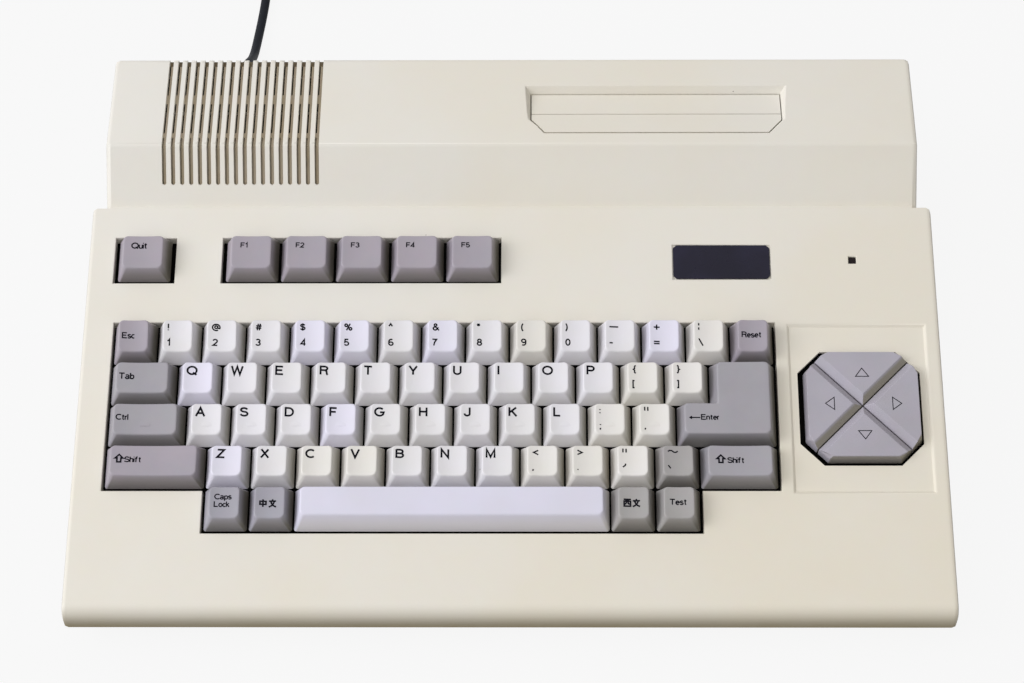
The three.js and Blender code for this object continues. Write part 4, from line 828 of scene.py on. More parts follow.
# Legends, as flat lettering laid on the cap's own surface
def strokeMesh(lines, width):
    # Each line is a run of points, joined back to its start where the ends meet
    points, faces = [], []
    for line in lines:
        line = [Vector(p) for p in line]
        closed = (line[0] - line[-1]).length < 1e-6
        if closed:
            line = line[:-1]
        start = len(points)
        for i, point in enumerate(line):
            before = line[i - 1] if closed or i else None
            after = line[(i + 1) % len(line)] if closed or i < len(line) - 1 else None
            first = (point - before if before is not None else after - point).normalized()
            second = (after - point).normalized() if after is not None else first
            mean = (first + second).normalized()
            side = Vector((-mean.y, mean.x))
            reach = width / 2 / max(side.dot(Vector((-first.y, first.x))), 0.35)
            points += [tuple(point + side * reach), tuple(point - side * reach)]
        pairs = len(line) if closed else len(line) - 1
        for i in range(pairs):
            a, b = start + 2 * i, start + 2 * ((i + 1) % len(line))
            faces.append((a, a + 1, b + 1, b))
    return points, faces


# Lettering drawn as strokes, in hundredths of the capital height: two numbers are a point, six
# are an arc (centre, radii, then from and to in degrees). A semicolon starts a new stroke
strokeGlyphs = {
    "middle": "12 74, 88 74, 88 34, 12 34, 12 74; 50 100, 50 0",
    "script": "45 100, 55 86; 4 77, 96 77; 74 77, 62 44, 38 17, 4 0; 26 77, 40 44, 62 17, 96 0",
    "west": "2 95, 98 95; 8 70, 92 70, 92 2, 8 2, 8 70; 38 95, 38 50, 30 36, 10 26; "
    "62 95, 62 40, 70 32, 92 32",
    "raise": "50 100, 98 52, 74 52, 74 0, 26 0, 26 52, 2 52, 50 100",
    "backArrow": "175 45, 0 45; 32 68, 0 45, 32 22",
    "bar": "30 105, 30 68; 30 40, 30 3",
    "dash": "0 50, 130 50",
    "wave": "0 60, 25 78, 55 76, 90 50, 120 50, 145 68",
    "tick": "28 75, 62 25",
    "A": "4 0, 40 98, 76 0; 17 36, 63 36",
    "B": "10 94, 42 94, 42 73 22 21 90 -90, 10 52; 42 52, 42 29 26 23 90 -90, 10 6, 10 98",
    "C": "46 50 39 44 48 312",
    "D": "10 6, 10 94, 38 94, 38 50 36 44 90 -90, 10 6",
    "E": "68 94, 10 94, 10 6, 70 6; 10 52, 62 52",
    "F": "64 94, 10 94, 10 0; 10 50, 57 50",
    "G": "46 50 39 44 46 322, 82 46, 50 46",
    "H": "10 0, 10 100; 68 0, 68 100; 10 52, 68 52",
    "I": "10 0, 10 100",
    "J": "50 100, 28 28 22 22 0 -185",
    "K": "10 0, 10 100; 68 100, 10 40; 30 60, 72 0",
    "L": "10 100, 10 6, 62 6",
    "M": "10 0, 10 98, 44 10, 78 98, 78 0",
    "N": "10 0, 10 97, 68 3, 68 100",
    "O": "46 50 40 44 0 360",
    "P": "10 0, 10 94, 42 94, 42 70 24 24 90 -90, 10 46",
    "Q": "46 50 40 44 0 360; 54 26, 86 0",
    "R": "10 0, 10 94, 44 94, 44 73 24 21 90 -90, 10 52; 46 52, 60 42, 65 10, 72 0",
    "S": "38 73 27 21 15 270, 38 29 30 23 90 -165",
    "T": "2 94, 70 94; 36 94, 36 0",
    "U": "10 100, 39 34 29 28 180 360, 68 100",
    "V": "3 100, 36 3, 69 100",
    "W": "3 100, 26 4, 50 94, 74 4, 97 100",
    "X": "4 100, 66 0; 64 100, 2 0",
    "Y": "3 100, 36 42, 69 100; 36 42, 36 0",
    "Z": "6 94, 62 94, 4 6, 66 6",
    "0": "28 50 23 44 0 360",
    "1": "6 72, 20 78, 30 98, 30 0",
    "2": "29 69 24 25 165 -35, 6 6, 54 6",
    "3": "28 73 22 21 150 -90; 28 29 25 23 90 -155",
    "4": "42 0, 42 95, 4 27, 56 27",
    "5": "50 94, 13 94, 9 50, 28 32 25 26 130 -150",
    "6": "32 56 26 38 55 180, 30 30 24 24 180 540",
    "7": "4 94, 54 94, 30 50, 20 0",
    "8": "29 73 20 21 0 360; 29 29 24 23 0 360",
    "9": "26 44 26 38 -125 0, 28 70 24 24 0 360",
    "!": "10 100, 10 30; 10 13, 10 0",
    "@": "50 48 17 20 0 360; 67 70, 67 34, 50 45 44 47 -20 300",
    "#": "18 0, 30 100; 42 0, 54 100; 5 66, 68 66; 2 34, 65 34",
    "$": "30 71 23 19 15 270, 30 31 25 21 90 -165; 30 105, 30 -5",
    "%": "20 75 15 19 0 360; 70 25 15 19 0 360; 66 100, 24 0",
    "^": "8 60, 28 98, 48 60",
    "&": "74 0, 24 62, 34 79 15 16 215 -40, 30 26 23 22 130 300, 68 46",
    "*": "20 100, 20 60; 3 90, 37 70; 37 90, 3 70",
    "(": "44 42 34 66 122 238",
    "-": "4 40, 42 40",
    "+": "2 45, 72 45; 37 84, 37 6",
    "=": "4 60, 72 60; 4 28, 72 28",
    "{": "34 100, 22 96, 18 85, 18 55, 4 42, 18 29, 18 0, 22 -10, 34 -14",
    "[": "28 98, 10 98, 10 -12, 28 -12",
    "<": "58 80, 4 46, 58 12",
    ",": "12 12, 12 0, 6 -14",
    ".": "8 0, 8 14",
    ":": "8 6, 8 20; 8 56, 8 70",
    ";": "12 12, 12 0, 6 -14; 12 56, 12 70",
    '"': "8 105, 8 45; 44 105, 44 45",
    "'": "36 100, 32 74, 4 44",
    "\\": "0 105, 48 -2",
    "a": "28 50 19 18 160 0, 47 10, 54 4; 27 20 20 16 0 360",
    "b": "9 100, 9 0; 30 35 21 30 0 360",
    "c": "29 35 21 30 50 310",
    "e": "8 37, 50 37, 29 35 21 30 5 315",
    "h": "9 100, 9 0; 28 46 19 20 180 0, 47 0",
    "i": "9 68, 9 0; 9 100, 9 86",
    "f": "36 94, 27 80 12 14 100 180, 15 0; 1 66, 32 66",
    "k": "9 100, 9 0; 44 68, 9 28; 20 42, 48 0",
    "l": "9 100, 9 0",
    "n": "9 70, 9 0; 28 46 19 20 180 0, 47 0",
    "o": "29 35 22 30 0 360",
    "p": "9 70, 9 -28; 30 35 21 30 0 360",
    "r": "9 70, 9 0; 30 44 21 22 180 90",
    "s": "26 51 17 15 20 270, 26 20 20 16 90 -160",
    "t": "15 90, 28 18 13 13 180 275; 1 67, 31 67",
    "u": "9 68, 28 25 19 20 180 360; 47 68, 47 0",
}
mirroredGlyphs = {")": "(", "}": "{", "]": "[", ">": "<"}
# Shares of the capital height
lettering = {"width": 0.21, "spacing": 0.17, "stretch": 1.26, "margin": 0.06}


def tracedStroke(text):
    points = []
    for item in text.split(", "):
        cx, cy, *arc = [float(value) for value in item.split()]
        cx, cy = cx / 100, cy / 100
        if not arc:
            points.append((cx, cy))
            continue
        rx, ry, first, last = arc
        steps = max(3, round(abs(last - first) / 18))
        for i in range(steps + 1):
            angle = math.radians(first + (last - first) * i / steps)
            point = (cx + rx / 100 * math.cos(angle), cy + ry / 100 * math.sin(angle))
            if not points or (Vector(points[-1]) - Vector(point)).length > 1e-4:
                points.append(point)
    return points


def glyphStrokes(glyph):
    if glyph in mirroredGlyphs:
        strokes = glyphStrokes(mirroredGlyphs[glyph])
        wide = max(x for stroke in strokes for x, y in stroke) + lettering["margin"]
        return [[(wide - x, y) for x, y in stroke] for stroke in strokes]
    return [tracedStroke(stroke) for stroke in strokeGlyphs[glyph].split("; ")]


def legendParts(entry):
    # (points, faces) at a capital height of 1, from one glyph's name or a text
    drawn = entry in strokeGlyphs and len(entry) > 1
    stretch = 1 if drawn else lettering["stretch"]
    strokes, place = [], 0
    for glyph in [entry] if drawn else entry:
        traced = [[(x * stretch, y) for x, y in stroke] for stroke in glyphStrokes(glyph)]
        left = min(x for stroke in traced for x, y in stroke)
        right = max(x for stroke in traced for x, y in stroke)
        strokes += [[(x - left + place, y) for x, y in stroke] for stroke in traced]
        place += right - left + lettering["spacing"]
    return strokeMesh(strokes, lettering["width"])


# Each mark has a left inset, a top inset and a capital height, in mm on the cap's top face
legendStyle = {
    "lift": 0.05,
    "letter": (1.4, 1.7, 3.9),
    "upper": (1.9, 1.6, 2.9),
    "lower": (1.9, 8.3, 2.9),
}


def makeLegend(name, marks, place, corners, height, body, frontInset=caps["frontInset"]):
    # marks are (entry, left inset, top inset, capital height)
    outline = corners(caps["side"], frontInset, caps["rearInset"])
    left = min(p[0] for p in outline)
    rear = max(p[1] for p in outline)
    x0, s0 = place
    points, faces = [], []
    for entry, across, down, size in marks:
        glyphPoints, glyphFaces = legendParts(entry)
        start = min(p[0] for p in glyphPoints)
        first = len(points)
        for px, py in glyphPoints:
            x = left + across + (px - start) * size
            s = rear - down - size + py * size
            n = caps["base"] + height(x, s) + legendStyle["lift"]
            points.append(onDeck(x0 + x, s0 + s, n))
        faces += [tuple(first + i for i in f) for f in glyphFaces]
    return mount(makePiece(name, points, faces, "ink", smooth=False), body)


def loneKey(name, units, colour, *marks):
    return (name, units, f"key_{name}", colour, marks)


def unitKeys(body, text):
    # Keys one unit wide, as name, colour and one mark in the corner or two above each other
    keys = []
    for entry in text.split(" | "):
        name, colour, *texts = entry.split()
        styles = ("letter",) if len(texts) == 1 else ("upper", "lower")
        marks = [(mark, *legendStyle[style]) for mark, style in zip(texts, styles)]
        keys.append((name, 1, body, colour, marks))
    return keys


# Rows from the space bar's up: distance up the deck, first unit, rises of the caps' front and
# rear edges in mm, keys
keyRows = [
    (47, 2.25, (0, 0), [
        loneKey("caps_lock", 1, "slate", ("Caps", 2.1, 3.1, 2.35), ("Lock", 2, 6.4, 2.35)),
        loneKey("mode_left", 1, "slate", ("middle", 2, 5.5, 3.3), ("script", 5.9, 5.5, 3.3)),
        loneKey("space", 7, "spaceBar"),
        loneKey("mode_right", 1, "stone", ("west", 2, 5.3, 3.2), ("script", 5.8, 5.3, 3.3)),
        loneKey("test", 1, "stone", ("Test", 2.4, 5.3, 2.5)),
    ]),
    (66.05, 0, (0, -1.1), [
        loneKey("shift_left", 2.25, "grey", ("raise", 1.2, 4.2, 3.4), ("Shift", 5.9, 5.1, 2.5)),
        *unitKeys(
            "keys_z_to_n",
            "z lavender Z | x white X | c warm C | v warm V | b white B | n white N",
        ),
        *unitKeys(
            "keys_m_to_tilde",
            "m white M | comma warm < , | period beige > . | slash warm \" ' | "
            "tilde stone wave tick",
        ),
        loneKey("shift_right", 1.75, "neutral", ("raise", 2.8, 4.4, 3.4), ("Shift", 8, 5.4, 2.5)),
    ]),
    (85.1, 0, (-1.1, -0.8), [
        loneKey("control", 1.75, "neutral", ("Ctrl", 0.9, 4.7, 2.5)),
        *unitKeys(
            "keys_a_to_h",
            "a white A | s white S | d white D | f lavender F | g white G | h white H",
        ),
        *unitKeys(
            "keys_j_to_quote",
            "j white J | k white K | l white L | semicolon warm : ; | quote warm \" ,",
        ),
    ]),
    (104.15, 0, (-0.7, -0.3), [
        loneKey("tab", 1.5, "neutral", ("Tab", 1.2, 4.8, 2.7)),
        *unitKeys(
            "keys_q_to_y",
            "q lavender Q | w white W | e white E | r white R | t white T | y white Y",
        ),
        *unitKeys(
            "keys_u_to_bracket",
            "u white U | i white I | o white O | p white P | bracket_left warm { [ | "
            "bracket_right warm } ]",
        ),
    ]),
    (123.2, 0, (-0.2, 1.6), [
        loneKey("escape", 1, "grey", ("Esc", 1.3, 5.4, 2.5)),
        *unitKeys(
            "keys_1_to_7",
            "1 white ! 1 | 2 white @ 2 | 3 white # 3 | 4 lavender $ 4 | 5 lavender % 5 | "
            "6 white ^ 6 | 7 lavender & 7",
        ),
        *unitKeys(
            "keys_8_to_backslash",
            "8 white * 8 | 9 beige ( 9 | 0 white ) 0 | minus white dash - | "
            "plus lavender + = | backslash warm bar \\",
        ),
        loneKey("reset", 1, "grey", ("Reset", 1.5, 5.2, 2.4)),
    ]),
]
gridLeft = -29.05 - 7.5 * caps["pitch"]
spaceBar = {"frontInset": 4.6, "crown": 0.35, "stems": ((-50, 0), (0, 0), (50, 0))}


def makeKeys():
    replaced = set()
    for distance, units, rises, keys in keyRows:
        for name, width, body, colour, marks in keys:
            place = (gridLeft + (units + width / 2) * caps["pitch"], distance)
            units += width
            sizes = (width * caps["pitch"] - caps["gap"], caps["pitch"] - caps["gap"])
            corners = rectangleCorners(*sizes)
            inset, dish, crown, stems = caps["frontInset"], caps["dish"], 0, ((0, 0),)
            if name == "space":
                inset, dish = spaceBar["frontInset"], 0
                crown, stems = spaceBar["crown"], spaceBar["stems"]
            height = dishedTop(*sizes, dish, inset, crown, rises)
            cap = capMesh(f"cap_{name}", corners, height, place, colour, inset, stems)
            mount(cap, body, [] if body in replaced else [body])
            replaced.add(body)
            if marks:
                makeLegend(f"legend_{name}", marks, place, corners, height, body, inset)


# Enter, two rows high. Across is in units from the grid's left, the rest in mm
enter = {
    "middle": (13.875, 94.625),  # units across, mm up the deck
    "left": 12.75,
    "upperLeft": 13.5,
    "right": 15,
    "stem": 14.25,
    "rise": 0.5,
    "dish": 0.35,
    "dishMiddle": -2,
    "dishReach": 18,
    "focus": -8,  # where the rings of the top meet, from the middle
    "marks": [("backArrow", 1.8, 24.3, 2.5), ("Enter", 6.9, 24.2, 2.4)],
}


def makeEnter():
    pitch, half = caps["pitch"], caps["gap"] / 2
    middle = (gridLeft + enter["middle"][0] * pitch, enter["middle"][1])

    def across(name):
        return gridLeft + enter[name] * pitch - middle[0]

    def corners(side, front, rear):
        left, upper = (across(name) + half + side for name in ("left", "upperLeft"))
        right = across("right") - half - side
        low, step, high = -pitch + half + front, -half - rear, pitch - half - rear
        lower = [(left, low), (right, low), (right, high)]
        return [*lower, (upper, high), (upper, step), (left, step)]

    def height(x, s):
        offset = min(abs(x - enter["dishMiddle"]) / enter["dishReach"], 1)
        slope = enter["rise"] * (s + pitch) / (2 * pitch)
        return caps["front"] + slope - enter["dish"] * (1 - offset**2)

    stem, body = across("stem"), "key_enter"
    focus = (stem, enter["focus"])
    cap = capMesh(
        "cap_enter", corners, height, middle, "neutral", stems=((stem, 0),), focus=focus
    )
    mount(cap, body, [body])
    makeLegend("legend_enter", enter["marks"], middle, corners, height, body)


# Function keys. Marks are as in legendStyle
functionKeys = {
    "s": 163.7,
    "size": (23, 19.8),
    "dishShare": 0.7,
    "quit": (-161.05, (3.4, 3.2, 2.75)),  # X and mark
    "f": (-65.2, 24.2, (3.9, 3.2, 2.3)),  # X of F3, pitch and mark
}


def makeFunctionKeys():
    keys = [("quit", "Quit", *functionKeys["quit"])]
    x, pitch, mark = functionKeys["f"]
    keys += [(f"f{i + 1}", f"F{i + 1}", x + (i - 2) * pitch, mark) for i in range(5)]
    corners = rectangleCorners(*functionKeys["size"])
    dish = caps["dish"] * functionKeys["dishShare"]
    height = dishedTop(*functionKeys["size"], dish, caps["frontInset"])
    for name, text, x, mark in keys:
        body, place = f"key_{name}", (x, functionKeys["s"])
        mount(capMesh(f"cap_{name}", corners, height, place, "grey"), body, [body])
        makeLegend(f"legend_{name}", [(text, *mark)], place, corners, height, body)


makeKeys()
makeEnter()
makeFunctionKeys()
print("keys made")


# Cursor pad: four quarters with an outlined arrow on each
pad = {
    "x": 149.9,
    "s": 93.6,
    "top": 2.6,
    "base": 12.8,
    "tip": 16.7,
    "half": 2.9,
    "line": 0.36,
    # The keys are a little smaller than their well, and lie at its right and rear
    "right": 175.4,
    "rear": 119.1,
    "across": 0.027,
    "along": 0.02,
    "shift": 0.3,
    "skirt": -4.6,  # n above which they are smaller
    # Stems keep their place, in the plate's holes
    "stems": [(0, 15), (15, 0), (0, -15), (-15, 0)],
    "stemTop": 1.5,
    "stemReach": 6,
}


def inPad(x, s):
    x = x + pad["shift"] + (pad["right"] - x) * pad["across"]
    return x, s + pad["shift"] + (pad["rear"] - s) * pad["along"]


def makePad():
    turns = {"cursor_up": 0, "cursor_left": 90, "cursor_down": 180, "cursor_right": 270}
    for body, degrees in turns.items():
        key = dressNode(body, f"pad_{body}", "pad", body, 0.22, 3, 12)
        for vertex in key.data.vertices:
            x, y, z = vertex.co / metresPerMm
            s, n = deckPlace(y, z)
            stem = min(math.hypot(x - pad["x"] - a, s - pad["s"] - b) for a, b in pad["stems"])
            if n > pad["skirt"] and (n > pad["stemTop"] or stem > pad["stemReach"]):
                vertex.co = onDeck(*inPad(x, s), n) * metresPerMm
        triangle = [(-pad["half"], pad["base"]), (pad["half"], pad["base"]), (0, pad["tip"])]
        flat, faces = strokeMesh([[*triangle, triangle[0]]], pad["line"])
        angle = math.radians(degrees)
        points = []
        for x, y in flat:
            across = x * math.cos(angle) - y * math.sin(angle)
            along = x * math.sin(angle) + y * math.cos(angle)
            place = inPad(pad["x"] + across, pad["s"] + along)
            points.append(onDeck(*place, pad["top"] + legendStyle["lift"]))
        mount(makePiece(f"arrow_{body}", points, faces, "ink", smooth=False), body)


makePad()
print("cursor pad made")


# Vents: each slot has a floor, with a slit at its left side where air passes
vents = {
    "count": 18,
    "pitch": 4,
    "width": 1.9,
    "centre": -120.3,
    "depth": 2.1,  # of the slot's floor
    "floor": 0.8,
    "slit": 0.6,
    "gutter": 3.3,  # depth beside the floor, on the face
    "rib": 86.2,  # Y where the gutter ends
    # Depth of a black sheet under the slots, painted shade for the dark inside of the case
    "shadeSheet": 5.5,
    "start": (66.86, 55.94),  # Y and Z where a slot begins on the front face
    "ridge": (80.9, 67),
    "slits": [(88.8, 105.2), (110.2, 126.6)],  # Y of the open stretches
    "ribs": [(86.5, 91), (101.2, 109.2), (121.8, 128.8)],  # Y of the case's cross ribs
    "shoulder": 126.6,  # Y where the floor ends
    "sillEnd": 129.4,
    "overlap": 0.35,  # of the rounded ends with the case
    "reach": 0.1,  # of a floor into the slot's walls
    # Small steps in depth keep two surfaces from lying in one plane
    "closed": 2.12,
    "sill": 2.15,
    "shade": 2.16,
    "lift": 0.015,
}


def ventPoint(y, offset):
    # On the face or the top, offset out of the surface
    (y0, z0), (y1, z1) = vents["start"], vents["ridge"]
    rise = (z1 - z0) / (y1 - y0)
    long = math.hypot(1, rise)
    startY, startZ = y0 - offset * rise / long, z0 + offset / long
    ridgeY = startY + (z1 + offset - startZ) / rise
    if y <= y0:
        return startY, startZ
    if y < y1:
        share = (y - y0) / (y1 - y0)
        return startY + share * (ridgeY - startY), startZ + share * (z1 + offset - startZ)
    return max(y, ridgeY), z1 + offset


def makeVents():
    points, faces = [], []

    def prism(outline, x0, x1):
        first, count = len(points), len(outline)
        points.extend((x, y, z) for x in (x0, x1) for y, z in outline)
        faces.extend(ringFaces(first, count, 2))
        faces.append(tuple(range(first, first + count))[::-1])
        faces.append(tuple(range(first + count, first + 2 * count)))

    def strip(x0, x1, y0, y1, depth):
        ridge = vents["ridge"][0]
        stops = [y0, *([ridge] if y0 < ridge < y1 else []), y1]
        low = -depth - vents["floor"]
        lower = [ventPoint(y, low) for y in reversed(stops)]
        prism([ventPoint(y, -depth) for y in stops] + lower, x0, x1)

    def corner(x, side):
        # Half of a slot's rounded end, laid over its square end
        radius, extra = vents["width"] / 2, vents["overlap"]
        (y0, z0), (y1, z1) = vents["start"], vents["ridge"]
        long = math.hypot(y1 - y0, z1 - z0)
        upY, upZ = (y1 - y0) / long, (z1 - z0) / long
        outline = [(-extra, -extra), (radius, -extra)]
        for a in (math.radians(degrees) for degrees in range(0, 91, 15)):
            outline.append((radius - radius * math.sin(a), radius - radius * math.cos(a)))
        outline.append((-extra, radius))
        first, count = len(points), len(outline)
        for lift in (vents["lift"], -vents["depth"]):
            for across, up in outline:
                y, z = y0 + up * upY - lift * upZ, z0 + up * upZ + lift * upY
                points.append((x + side * (radius - across), y, z))
        faces.extend(ringFaces(first, count, 2))
        for layer in (first, first + count):
            faces.extend((layer, layer + i, layer + i + 1) for i in range(1, count - 1))

    def finished(name, material):
        mesh = bpy.data.meshes.new(name)
        mesh.from_pydata([metres(p) for p in points], [], faces)
        shape = bmesh.new()
        shape.from_mesh(mesh)
        bmesh.ops.recalc_face_normals(shape, faces=shape.faces)
        shape.to_mesh(mesh)
        shape.free()
        points.clear()
        faces.clear()
        mount(finishPiece(name, mesh, material, sharp=30))

    start, slits, end = vents["start"][0], vents["slits"], vents["shoulder"]
    half, slit, reach = vents["width"] / 2, vents["slit"], vents["reach"]
    closed = [  # from, to, depth
        (start, vents["rib"], vents["gutter"]),
        (vents["rib"], slits[0][0], vents["closed"]),
        (slits[0][1], slits[1][0], vents["closed"]),
        (slits[1][1], end, vents["closed"]),
    ]
    number = vents["count"]
    middles = [vents["centre"] + (i - (number - 1) / 2) * vents["pitch"] for i in range(number)]
    for x in middles:
        left, right = x - half, x + half
        strip(left + slit, right + reach, start, end, vents["depth"])
        for y0, y1, depth in closed:
            strip(left - reach, left + slit + reach, y0, y1, depth)
    # Painted shade: the slot floors take a darker colour, for dust and for the shade in the slots
    finished("vent_floors", "dustAndShade")
    # Painted shade: a black sheet below the slots stands for the dark inside of the case
    wide = number * vents["pitch"] / 2
    strip(vents["centre"] - wide, vents["centre"] + wide, start, end, vents["shadeSheet"])
    finished("vent_shade_sheet", "darkness")
    # Painted shade: sills at the slots' rear ends, dark for the shade there
    for x in middles:
        strip(x - half - reach, x + half + reach, end, vents["sillEnd"], vents["sill"])
    finished("vent_rear_sills", "slotEndShade")
    # Painted shade: black strips over the case's cross ribs where the slits are open, for the
    # shade below them
    for x in middles:
        for low, high in vents["ribs"]:
            for y0, y1 in slits:
                y0, y1 = max(low, y0), min(high, y1)
                if y0 < y1:
                    right = x - half + slit + reach / 2
                    strip(x - half - reach, right, y0, y1, vents["shade"])
    finished("vent_slit_shades", "darkness")
    for x in middles:
        corner(x, 1)
        corner(x, -1)
    finished("vent_slot_ends", "case")


makeVents()
print("vents made")


# The case and what is fixed to it, with softened edges: width, segments, least angle
caseEdges = {
    "ridge": (1.1, 3, 8),
    "recess": (0.7, 3, 12),
    "vents": (0.3, 2, 28),
    "wells": (0.4, 2, 28),
}
# Where the slot doors' recess lies, and how far up the deck the wells start and end
slotRecess = {"x": (2, 128), "y": (84, 118), "z": 63}
wellSpan = (10, 182)
rearWall = 130


def nearRidge(x, y, z):
    ridgeY, ridgeZ = vents["ridge"]
    return abs(y - ridgeY) < 0.2 and z > ridgeZ - 0.2


def nearVents(x, y, z):
    (y0, z0), (y1, z1) = vents["start"], vents["ridge"]
    half = vents["count"] * vents["pitch"] / 2
    faceZ = z0 + (y - y0) * (z1 - z0) / (y1 - y0)
    outside = z > z1 - 0.1 or abs(z - faceZ) < 0.1 or y > rearWall - 0.1
    return abs(x - vents["centre"]) < half and y > y0 + 0.3 and outside


def nearRecess(x, y, z):
    (x0, x1), (y0, y1) = slotRecess["x"], slotRecess["y"]
    return x0 < x < x1 and y0 < y < y1 and z > slotRecess["z"]


def nearWells(x, y, z):
    s, n = deckPlace(y, z)
    return abs(n) < 0.15 and wellSpan[0] < s < wellSpan[1]


# Nodes inside and at the rear: finish and edge width in mm
plainNodes = {
    "keyboard_board": ("board", 0),
    "main_board": ("board", 0),
    "cartridge_connector": ("black", 0.2),
    "mains_transformer": ("steel", 0.3),
    "heat_sink": ("aluminium", 0.2),
    "rf_modulator": ("steel", 0.3),
    "av_socket_block": ("black", 0.2),
    "printer_socket": ("black", 0.3),
    "joystick_socket_1": ("steel", 0.3),
    "joystick_socket_2": ("steel", 0.3),
    "power_switch": ("black", 0.25),
    "keyboard_ribbon": ("ribbon", 0),
    "cartridge_guide": ("case", 0.25),
    "socket_bay": ("case", 0.3),
}


def makeCase():
    tests = {
        "ridge": nearRidge, "recess": nearRecess, "vents": nearVents, "wells": nearWells,
    }
    groups = [(test, *caseEdges[name]) for name, test in tests.items()]
    dressNode("upper_case", "case_upper_shell", "case", bevel=0.35, groups=groups)
    dressNode("lower_case", "case_lower_shell", "lower")
    for side in ("rear", "front"):
        door = f"slot_door_{side}"
        dressNode(door, f"cartridge_door_{side}", "case", door, 0.06, widen=0.12)
    dressNode("badge_plate", "badge_blank_plate", "badge", bevel=0.15)
    dressNode("power_lamp", "power_lamp_lens", "lens", bevel=0.15)
    for foot in ("front_left", "front_right", "rear_left", "rear_right"):
        dressNode(f"foot_{foot}", f"rubber_foot_{foot}", "rubber", bevel=0.6, segments=3)
    # Painted shade: the plate under the caps is black, for the shade between them
    plate = "keyboard_plate"
    dressNode(plate, f"{plate}_dressed", "darkness", bevel=0)
    for node, (material, bevel) in plainNodes.items():
        dressNode(node, f"{node}_dressed", material, bevel=bevel)
    dressNode("power_rocker", "power_rocker_cap", "black", "power_rocker", 0.4, 3)


makeCase()
print("case made")


# What the sockets, the rocker and the underside carry. Lengths in mm, places in the case's own
# frame. Profiles are radius and distance along the piece's axis
fittings = {
    "socketZ": 27,
    "jackFront": 128,
    "jacks": [("aerial", -62, "steel"), ("video", -40, "yellow"), ("audio", -24, "white")],
    "threadStart": [(4.26, -6.4)],
    "turns": (4, -5.6, 1.3),  # count, place of the first, pitch
    "turn": [(4.3, 0), (4.3, 0.7), (4.22, 0.8), (4.22, 1.2)],
    "mouth": [(4.3, -0.25), (4.1, 0.05), (3.35, 0.05), (3.2, -0.1)],
    "insert": [(3.25, 0.02), (2.3, 0.03), (2.1, 0.1), (1.75, 0.1), (1.6, 0.03)],
    "bore": [(1.65, 0.025), (0, 0.02)],
    "round": (-4.5, 118.5, 3.3),  # X and Y of the round socket's face, radius of its contacts
    "roundShell": [(5.15, 0.05), (5.15, 2.9), (5.3, 3.08), (5.9, 3.08), (6, 2.95)],
    "roundContact": [(0.95, 0.02), (0.95, 0.3), (0.6, 0.3), (0.55, 0.06), (0, 0.05)],
    "tongue": (66, 116.4, 33, 1.8, 4.4),  # X, Y, width, thickness, reach
    "contacts": (13, 2.45, 1.3, 0.16),  # count, pitch, width, thickness
    "contactEnds": (0.2, 0.4),  # from the tongue's root and from its tip
    "pinPitch": 2.77,
    "pinRow": 1.42,
    "pin": [(0.5, 0.5), (0.5, 4.9), (0.3, 5.2), (0, 5.22)],
    "pinRoot": (6, 6.25),  # below the socket's outer face, and below its top
    "insulator": (8.4, 4.1, 0.05, 0.6),  # half width, half height, behind the root, before it
    "screws": [(-170, -114), (0, -114), (170, -114), (-168, 117), (0, 117), (168, 117)],
    "screwHead": [
        (3, 0.05), (3, -0.45), (2.7, -0.85), (2.1, -1.1), (1.3, -1.2), (1, -0.75), (0, -0.7)
    ],
    "screwWell": [(4.3, 0.02), (4.1, -0.04), (2.9, -0.04)],
    "underside": 3,
}
upward = (0, 0, 1)
# Corners of each side of a block, which are counted along Z, then Y, then X
blockSides = ((0, 1, 3, 2), (4, 6, 7, 5), (0, 4, 5, 1), (2, 3, 7, 6), (0, 2, 6, 4), (1, 5, 7, 3))


def blocksPiece(name, blocks, material):
    # One piece of many blocks, each from its low to its high corner
    points, faces = [], []
    for (x0, y0, z0), (x1, y1, z1) in blocks:
        first = len(points)
        points += [(x, y, z) for x in (x0, x1) for y in (y0, y1) for z in (z0, z1)]
        faces += [tuple(first + i for i in side) for side in blockSides]
    mount(makePiece(name, points, faces, material, sharp=30))


def makeJack(name, x, insert):
    place = (x, fittings["jackFront"], fittings["socketZ"])
    count, start, pitch = fittings["turns"]
    profile = list(fittings["threadStart"])
    for i in range(count):
        profile += [(radius, start + i * pitch + along) for radius, along in fittings["turn"]]
    lathe(f"jack_{name}_sleeve", profile + fittings["mouth"], place, "steel")
    lathe(f"jack_{name}_insert", fittings["insert"], place, insert)
    # Painted shade: a black disc deep in the bore
    lathe(f"jack_{name}_bore", fittings["bore"], place, "darkness")


def makeRoundSocket():
    x, y, radius = fittings["round"]
    z = fittings["socketZ"]
    lathe("round_socket_shell", fittings["roundShell"], (x, y, z), "steel")
    for number in range(5):
        angle = math.pi * (1 + number / 4)
        place = (x + radius * math.cos(angle), y, z + radius * math.sin(angle))
        name = f"round_socket_contact_{number + 1}"
        lathe(name, fittings["roundContact"], place, "brass", 14)


def makePrinterContacts():
    x, y, width, thick, reach = fittings["tongue"]
    count, pitch, wide, height = fittings["contacts"]
    root, tip = fittings["contactEnds"]
    z = fittings["socketZ"]
    low, high = (x - width / 2, y, z - thick / 2), (x + width / 2, y + reach, z + thick / 2)
    blocksPiece("printer_socket_tongue", [(low, high)], "black")
    blocks = []
    for i in range(count):
        middle = x + (i - (count - 1) / 2) * pitch
        left, right = middle - wide / 2, middle + wide / 2
        for side in (-1, 1):
            near, far = sorted((z + side * thick / 2, z + side * (thick / 2 + height)))
            blocks.append(((left, y + root, near), (right, y + reach - tip, far)))
    blocksPiece("printer_socket_contacts", blocks, "brass")


